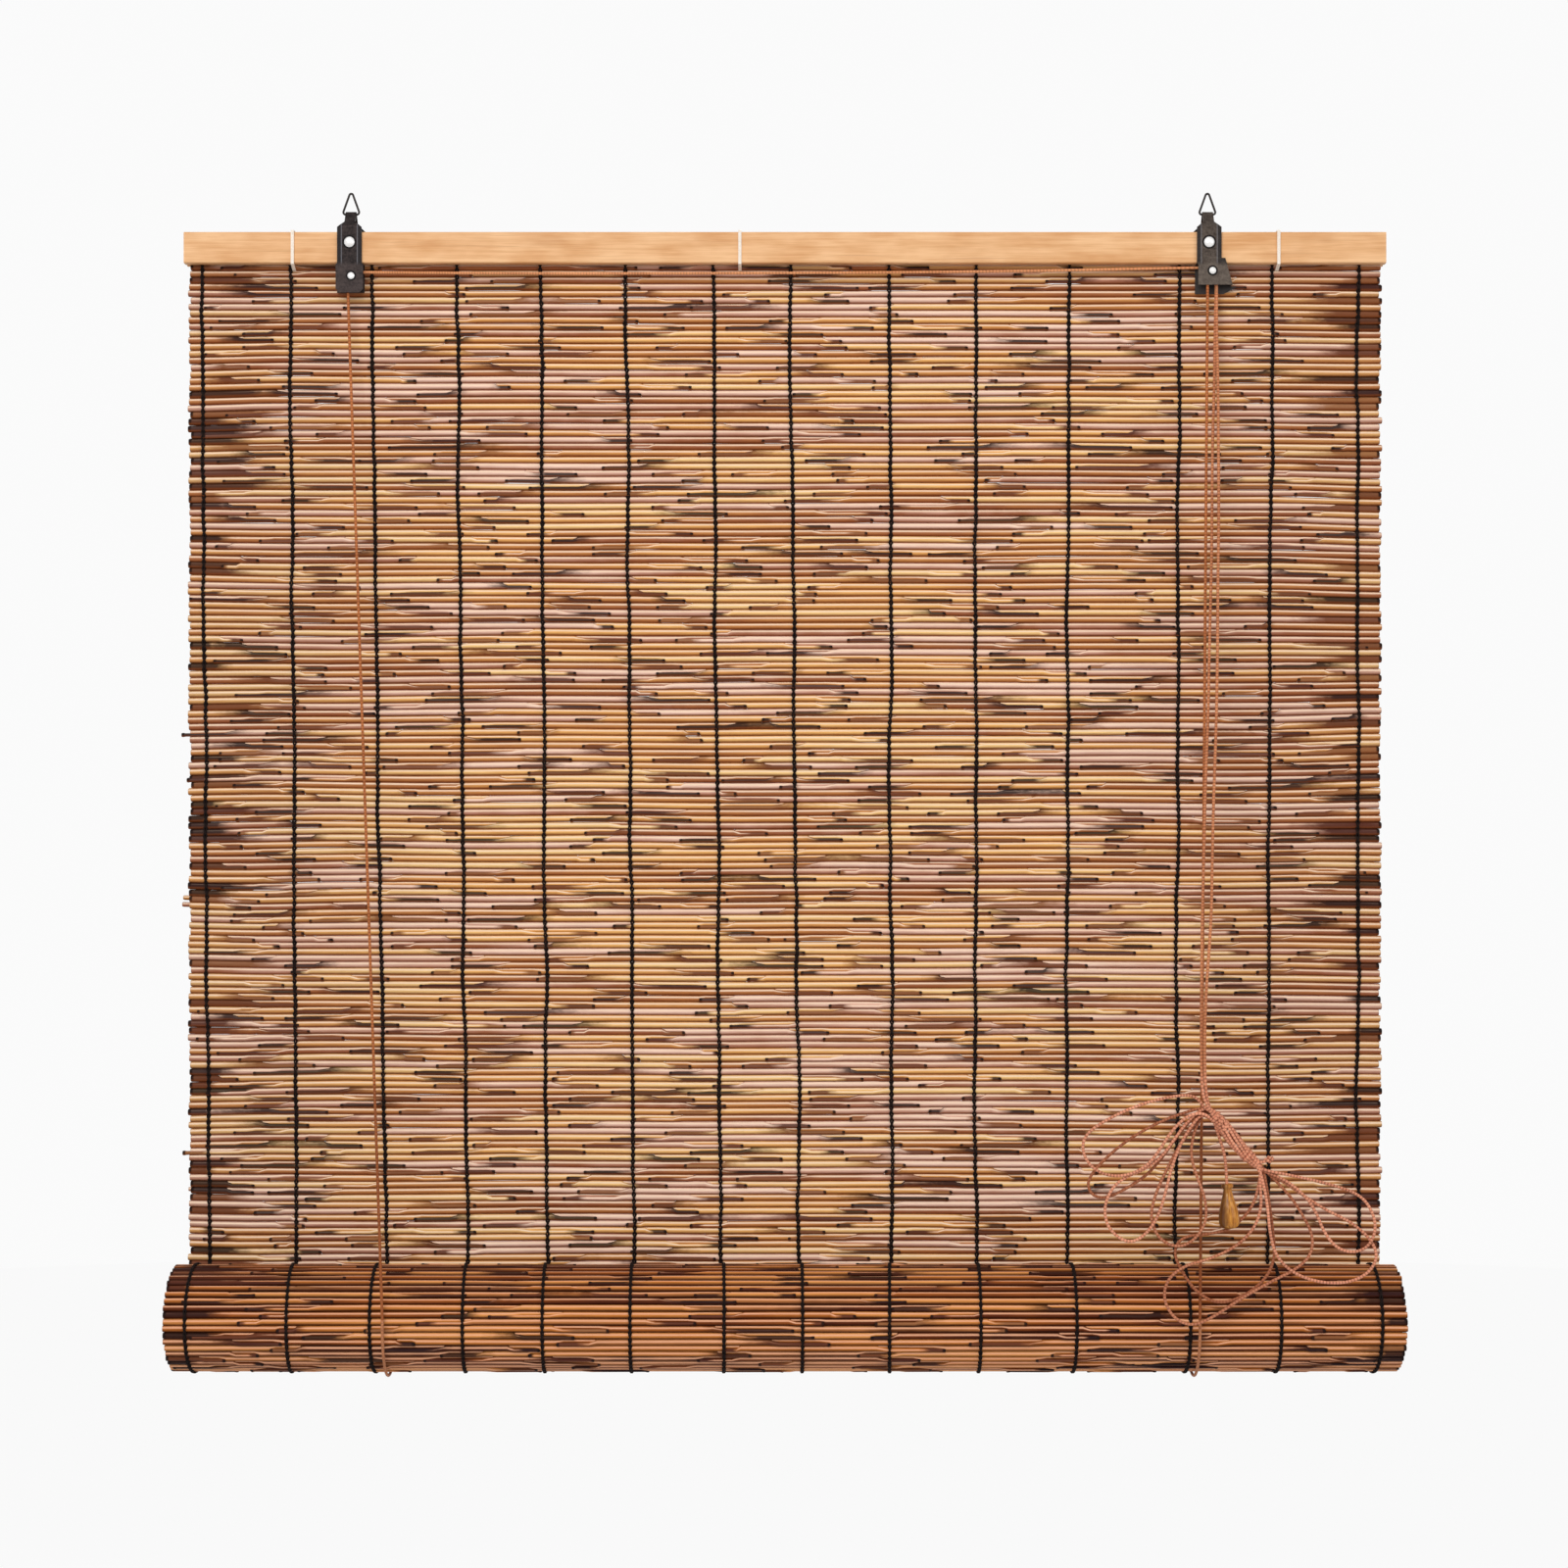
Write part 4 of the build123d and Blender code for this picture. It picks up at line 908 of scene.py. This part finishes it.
# Lift cords, tight between the housings and the slings
def tangent_to_sling(top_y, top_z, side):
    across = top_y - roll_y
    up = top_z - roll_z
    angle = atan2(across, up) + side * acos(sling_radius / hypot(across, up))
    return (roll_y + sling_radius * sin(angle), roll_z + sling_radius * cos(angle))


def lift_tube(name, node, top, sling_x, side, finish):
    """A tight cord to its sling's front (-1) or back (1)."""
    top_y, anchor_z = top[1:]
    foot = (sling_x, *tangent_to_sling(top_y, anchor_z, side))
    middle = tuple((first + second) / 2 for first, second in zip(top, foot))
    mesh = cord_tube(name, (top, middle, foot), cord_diameter, tight_cord_sides)[0]
    piece = add_piece(name, mesh, finish)
    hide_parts(node)
    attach(piece, "blind")
    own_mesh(piece)


left_sling_x = -0.325
right_sling_x = 0.335
left_housing_front = (-0.3643, -0.0093, -0.0693)
right_housing_front = (0.3517, -0.011225, -0.0650)
left_housing_back = (-0.356, 0.0143, -0.0520)
right_housing_back = (0.344, 0.0143, -0.0520)
lift_tube("left_front_cord", "lift_cord_left_front", left_housing_front, left_sling_x, -1, lift_cord)
lift_tube(
    "right_front_cord", "lift_cord_right_front", right_housing_front, right_sling_x, -1, lift_cord
)
lift_tube("left_back_cord", "lift_cord_left_back", left_housing_back, left_sling_x, 1, painted_shade_back_cord)
lift_tube("right_back_cord", "lift_cord_right_back", right_housing_back, right_sling_x, 1, painted_shade_back_cord)


# Left lift cord's own run across the front, below the rail, into the lock
cross_route = (
    (-0.3643, -0.0093, -0.0693),
    (-0.3643, -0.0093, -0.0656),
    (-0.3600, -0.0093, -0.0656),
    (-0.1900, -0.0090, -0.0670),
    (0.1500, -0.0082, -0.0656),
    (0.3548, -0.0074, -0.0613),
    (0.3591, -0.007375, -0.0613),
    (0.3591, -0.007375, -0.0656),
    (0.3591, -0.007375, -0.0830),
)
mesh = cord_tube("cross_run", cross_route, cord_diameter, tight_cord_sides)[0]
cross_run = add_piece("cross_run", mesh, cross_cord)
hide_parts("cross_cord")
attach(cross_run, "blind")


# Reeds
def reed_blank(name, steps, sides):
    """A plain rod one unit across and one long, cut into steps."""
    shape = bmesh.new()
    bmesh.ops.create_cone(
        shape, cap_ends=True, segments=sides, radius1=0.5, radius2=0.5, depth=1.0,
        matrix=Matrix.Rotation(pi / 2, 4, "Y") @ Matrix.Rotation(pi / sides, 4, "Z"),
    )
    long_edges = [edge for edge in shape.edges if abs(edge.verts[0].co.x - edge.verts[1].co.x) > 0.5]
    if steps > 1:
        bmesh.ops.subdivide_edges(shape, edges=long_edges, cuts=steps - 1)
    for face in shape.faces:
        face.smooth = len(face.verts) == 4
    mesh = bpy.data.meshes.new(name)
    shape.to_mesh(mesh)
    shape.free()
    return mesh


class Joint:
    """Where two stalks overlap: which lies in front with its dark end, and how far they pass."""

    def __init__(self, place, lap, front):
        self.place = place
        self.lap = lap
        self.front = front


def stalk_stations(left, right, joint_left, joint_right):
    """Eleven places along a stalk, as (x, width, drop, stand), thin over each lap."""
    body = chance.uniform(*stalk_girth)
    ends = []
    for joint, front_side in ((joint_left, "right"), (joint_right, "left")):
        if joint is None:
            ends.append((body, 0.0, 0.0, 1.0, 0.018))
        elif joint.front == front_side:
            ends.append((chance.uniform(*girth_in_front), -0.25, 0.26, 1.25, joint.lap))
        else:
            ends.append((chance.uniform(*girth_behind), 0.20, -0.16, 1.0, joint.lap))
    (width_l, drop_l, stand_l, swell_l, lap_l), (width_r, drop_r, stand_r, swell_r, lap_r) = ends
    reach = (right - left) * 0.42
    lap_l = min(lap_l, reach)
    lap_r = min(lap_r, reach)
    return (
        (left, width_l * swell_l * 0.85, drop_l, stand_l),
        (left + cut_end, width_l * swell_l, drop_l, stand_l),
        (left + end_shoulder, width_l, drop_l, stand_l),
        (left + lap_l * 0.82, width_l * 1.06, drop_l, stand_l),
        (left + lap_l + 0.001, body, 0.0, 0.0),
        ((left + right) / 2, body, 0.0, 0.0),
        (right - lap_r - 0.001, body, 0.0, 0.0),
        (right - lap_r * 0.82, width_r * 1.06, drop_r, stand_r),
        (right - end_shoulder, width_r, drop_r, stand_r),
        (right - cut_end, width_r * swell_r, drop_r, stand_r),
        (right, width_r * swell_r * 0.85, drop_r, stand_r),
    )


def row_wave(x, z):
    """How far the mat's rows ripple up or down at a place, most near its sides and not at the rail."""
    side = min(max((abs(x) - 0.22) / 0.26, 0.0), 1.0)
    hang = min(max((rail_foot - z) / 0.06, 0.0), 1.0) * min(max((z - mat_foot) / 0.06, 0.0), 1.0)
    return hang * (ripple + side_ripple * side * side) * noise.noise(Vector((x * 7.0, z * 11.0, 1.0)))


def lay_stalk(shape, blank, centre, outward, stations, seed, dark_ends, sway):
    """One stalk into the shape: centre and outward are (y, z), dark_ends are (x, reach)."""
    before = len(shape.verts)
    shape.from_mesh(blank)
    shape.verts.ensure_lookup_table()
    layers = {name: shape.verts.layers.float[name] for name in reed_layers}
    up = (-outward[1], outward[0]) if outward[0] > 0 else (outward[1], -outward[0])
    last = len(stations) - 1
    for vertex in shape.verts[before:]:
        x, width, drop, stand = stations[round((vertex.co.x + 0.5) * last)]
        rise = sway * noise.noise(Vector((x * 11.0, seed * 83.0, 4.0)))
        if outward[0] == -1.0:
            rise += row_wave(x, centre[1])
        high = vertex.co.z * width * reed_depth + drop * reed_depth + rise
        out = -vertex.co.y * min(width * 1.05, 1.0) * reed_depth + stand * reed_depth
        browning = -1.0
        tip = 1.0
        for end, reach in dark_ends:
            browning = max(browning, 1.0 - abs(x - end) / reach)
            tip = min(tip, abs(x - end))
        vertex[layers["reed_seed"]] = seed
        vertex[layers["reed_height"]] = vertex.co.z * 2.0
        vertex[layers["reed_browning"]] = browning
        vertex[layers["reed_tip"]] = tip
        y = centre[0] + outward[0] * out + up[0] * high
        z = centre[1] + outward[1] * out + up[1] * high
        vertex.co = (x, y, z)


def lay_row(shape, centre, outward, left, right, mean_length, sway):
    """A row of stalks end over end, from left to right."""
    joints = []
    place = left + chance.uniform(0.02, mean_length)
    while place < right - 0.03:
        lap = chance.uniform(shortest_lap, longest_lap)
        joints.append(Joint(place, lap, chance.choice(("left", "right"))))
        place += chance.uniform(*stalk_spread) * mean_length
    bounds = [None, *joints, None]
    for joint_left, joint_right in zip(bounds, bounds[1:]):
        start = left if joint_left is None else joint_left.place - joint_left.lap / 2
        end = right if joint_right is None else joint_right.place + joint_right.lap / 2
        dark_ends = []
        if joint_left is not None and joint_left.front == "right":
            dark_ends.append((start, joint_left.lap * chance.choice(dark_reaches)))
        elif joint_left is None and chance.random() < browned_side_share:
            dark_ends.append((start, chance.uniform(*side_browning)))
        if joint_right is not None and joint_right.front == "left":
            dark_ends.append((end, joint_right.lap * chance.choice(dark_reaches)))
        elif joint_right is None and chance.random() < browned_side_share:
            dark_ends.append((end, chance.uniform(*side_browning)))
        stations = stalk_stations(start, end, joint_left, joint_right)
        lay_stalk(shape, stalk_blank, centre, outward, stations, chance.random(), dark_ends, sway)


def new_reeds():
    shape = bmesh.new()
    for name in reed_layers:
        shape.verts.layers.float.new(name)
    return shape


def reeds_to_mesh(shape, name):
    mesh = bpy.data.meshes.new(name)
    bmesh.ops.recalc_face_normals(shape, faces=shape.faces)
    shape.to_mesh(mesh)
    shape.free()
    return mesh


reed_layers = ("reed_seed", "reed_height", "reed_browning", "reed_tip")
chance = random.Random(41)
stalk_blank = reed_blank("stalk_blank", 10, 6)
plain_blank = reed_blank("plain_reed_blank", 1, 6)


def plain_stations(left, right):
    return ((left, plain_girth, 0.0, 0.0), (right, plain_girth, 0.0, 0.0))


mat = new_reeds()
for row in range(reed_rows):
    z = mat_top - reed_pitch * (row + 0.5)
    left = -mat_width / 2 + chance.uniform(*ragged_mat_side)
    right = mat_width / 2 - chance.uniform(*ragged_mat_side)
    if row < rows_in_rail:
        stations = plain_stations(left, right)
        lay_stalk(mat, plain_blank, (0.0, z), (-1.0, 0.0), stations, chance.random(), (), 0.0)
    else:
        lay_row(mat, (0.0, z), (-1.0, 0.0), left, right, stalk_mean_in_mat, sway_in_mat)
mat_reeds = add_piece("mat_reeds", reeds_to_mesh(mat, "mat_reeds"), reed_of_mat)
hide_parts("reed_mat")
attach(mat_reeds, "blind")
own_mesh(mat_reeds)


def roll_place(turn_angle, depth=0.0):
    """A point of the roll's spiral, as (y, z), from the back, under the roll, to its front."""
    radius = roll_radius - turn_pitch * turn_angle / (2 * pi) - depth
    return (roll_y + radius * cos(turn_angle), roll_z - radius * sin(turn_angle))


roll = new_reeds()
angle = (mat_foot - roll_z + reed_pitch / 2) / roll_radius
while angle < roll_turns * 2 * pi:
    middle = roll_place(angle, reed_depth / 2)
    outward = (cos(angle), -sin(angle))
    reach = mat_width / 2 + 0.0030 + 0.0027 * max(-cos(angle), 0.0) ** 1.5
    left = -reach + chance.uniform(*ragged_roll_side)
    right = reach - chance.uniform(*ragged_roll_side)
    if angle < outer_turns_end:
        lay_row(roll, middle, outward, left, right, stalk_mean_in_roll, sway_in_roll)
    else:
        left += chance.uniform(*ragged_inner_side)
        right -= chance.uniform(*ragged_inner_side)
        stations = plain_stations(left, right)
        lay_stalk(roll, plain_blank, middle, outward, stations, chance.random(), (), 0.0)
    angle += reed_pitch / (roll_radius - turn_pitch * angle / (2 * pi) - reed_depth / 2)
roll_reeds = add_piece("roll_reeds", reeds_to_mesh(roll, "roll_reeds"), reed_of_roll)
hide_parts("reed_roll")
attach(roll_reeds, "roll")


# Warp threads: two strands that cross on each reed and dip into each gap
def thread_curve(name):
    curve = bpy.data.curves.new(name, "CURVE")
    curve.dimensions = "3D"
    curve.bevel_depth = thread_radius
    curve.bevel_resolution = 0
    curve.use_fill_caps = True
    return curve


def add_strand(curve, places):
    spline = curve.splines.new("POLY")
    spline.points.add(len(places) - 1)
    for point, place in zip(spline.points, places):
        point.co = (*place, 1.0)


def thread_mesh(curve, name):
    holder = bpy.data.objects.new(name + "_line", curve)
    mesh = bpy.data.meshes.new_from_object(holder)
    mesh.name = name
    for face in mesh.polygons:
        face.use_smooth = True
    bpy.data.objects.remove(holder)
    bpy.data.curves.remove(curve)
    return mesh


def warp_place(index, z):
    """Where a thread hangs at a height: straight from top to foot, with a slight wander."""
    share = (rail_foot - z) / (rail_foot - mat_foot)
    wander = slow_wander * noise.noise(Vector((z * 10.0, index * 13.7, 2.0)))
    wander += quick_wander * noise.noise(Vector((z * 47.0, index * 5.3, 8.0)))
    return thread_tops[index] + (thread_feet[index] - thread_tops[index]) * share + wander


def warp_threads(name, side, last_z):
    curve = thread_curve(name)
    for index in range(len(thread_tops)):
        for strand in (1, -1):
            places = []
            row = rows_in_rail
            z = rail_foot + 0.002
            while z > last_z:
                even_z = mat_top - reed_pitch * row
                gap_z = even_z + row_wave(warp_place(index, even_z), even_z)
                hand = strand * (1 if row % 2 else -1)
                x = warp_place(index, gap_z)
                swing = hand * thread_swing
                on_reed = side * depth_on_reed + strand_offset * hand
                places.append((x + swing, side * depth_in_gap, gap_z))
                places.append((x + swing * 0.45, on_reed, gap_z - reed_pitch * 0.3))
                places.append((x - swing * 0.45, on_reed, gap_z - reed_pitch * 0.7))
                row += 1
                z = even_z
            add_strand(curve, places)
    return thread_mesh(curve, name)


mesh = warp_threads("front_warp_threads", -1, front_threads_foot)
front_threads = add_piece("front_warp_threads", mesh, warp_thread)
mesh = warp_threads("back_warp_threads", 1, back_threads_foot)
back_threads = add_piece("back_warp_threads", mesh, warp_thread)
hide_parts("mat_threads")
for threads in (front_threads, back_threads):
    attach(threads, "blind")
    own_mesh(threads)

curve = thread_curve("roll_warp_threads")
for index, foot_x in enumerate(thread_feet):
    drift = chance.uniform(-0.006, 0.006)
    for strand in (1, -1):
        places = []
        step = 0
        angle = 0.0
        while angle < thread_end:
            swing = strand * (1 if step % 2 else -1) * swing_on_roll
            for share, out, part in ((0.0, -0.0006, 1.0), (0.3, 0.0006, 0.45), (0.7, 0.0006, -0.45)):
                turn = angle + share * reed_pitch / (roll_radius - reed_depth / 2)
                y, z = roll_place(turn, -out)
                places.append((foot_x + drift * sin(turn / 2) + swing * part, y, z))
            angle += reed_pitch / (roll_radius - turn_pitch * angle / (2 * pi) - reed_depth / 2)
            step += 1
        add_strand(curve, places)
mesh = thread_mesh(curve, "roll_warp_threads")
roll_warp = add_piece("roll_warp_threads", mesh, warp_thread)
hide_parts("roll_threads")
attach(roll_warp, "roll")


# Finishes of the parts that stay as they were cut
finishes = {
    "head_rail_front": rail_wood,
    "head_rail_back": rail_wood,
    "bottom_batten": batten_wood,
    "left_tie": tie_cord,
    "middle_tie": tie_cord,
    "right_tie": tie_cord,
    "left_ring": dark_metal,
    "right_ring": dark_metal,
    "left_hanger_strap": left_metal,
    "right_hanger_strap": right_metal,
    "left_pulley_cheek": left_metal,
    "right_lock_cheek": dark_metal,
    "left_rail_rivet": bright_rivet,
    "right_rail_rivet": bright_rivet,
    "left_pulley_axle": bright_rivet,
    "right_pulley_axle": bright_rivet,
    "left_pulley": pulley_plastic,
    "right_pulley": pulley_plastic,
    "lock_roller": pulley_plastic,
    "left_stopper_knot": knot_cord,
    "right_stopper_knot": knot_cord,
    "left_sling": knot_cord,
    "right_sling": knot_cord,
    "lock_cord": knot_cord,
}
for node_name, finish in finishes.items():
    for material_slot in bpy.data.objects[node_name].material_slots:
        material_slot.material = finish.material


class Sky(Finish):
    """The world's light, from the same nodes as a finish."""

    def __init__(self, name):
        world = bpy.data.worlds.new(name)
        world.use_nodes = True
        bpy.context.scene.world = world
        self.tree = world.node_tree


# Floor and lamps
shape = bmesh.new()
bmesh.ops.create_circle(shape, cap_ends=True, segments=96, radius=floor_radius)
bmesh.ops.translate(shape, verts=shape.verts, vec=(0, 0, floor_z))
bmesh.ops.recalc_face_normals(shape, faces=shape.faces)
floor_mesh = bpy.data.meshes.new("studio_floor")
shape.to_mesh(floor_mesh)
shape.free()

paper = Finish("studio_paper", base_color=(paper_white, paper_white, paper_white, 1.0), roughness=0.9)
glow = paper.node("ShaderNodeEmission", None, {"Color": (1.0, 1.0, 1.0), "Strength": 1.0})
sheet = Signal(paper, paper.shader.outputs[0])
mixed = paper.node("ShaderNodeMixShader", None, {0: paper.clear_rays() * paper_white, 1: sheet, 2: glow})
paper.feed(paper.tree.nodes["Material Output"].inputs["Surface"], mixed)
studio_floor = bpy.data.objects.new("studio_floor", floor_mesh)
bpy.context.collection.objects.link(studio_floor)
floor_mesh.materials.append(paper.material)

sky = Sky("studio")
background = sky.tree.nodes["Background"]
sky.feed(background.inputs["Color"], (1.0, 1.0, 1.0))
sky.feed(background.inputs["Strength"], sky.clear_rays() * (sky_white - sky_light) + sky_light)


def soft_lamp(name, place, target, size, power):
    lamp = bpy.data.objects.new(name, bpy.data.lights.new(name, "AREA"))
    bpy.context.collection.objects.link(lamp)
    lamp.data.shape = "SQUARE"
    lamp.data.size = size
    lamp.data.energy = power
    lamp.location = place
    lamp.rotation_euler = (Vector(target) - Vector(place)).to_track_quat("-Z", "Y").to_euler()


soft_lamp("key_lamp", (-0.9, -2.9, 1.3), blind_middle, 2.2, 75.0)
soft_lamp("fill_lamp", (2.2, -1.8, 0.2), blind_middle, 1.8, 17.0)
soft_lamp("back_lamp", (0.5, 2.8, 1.2), blind_middle, 1.8, 22.0)

bpy.context.scene.view_settings.view_transform = "Standard"
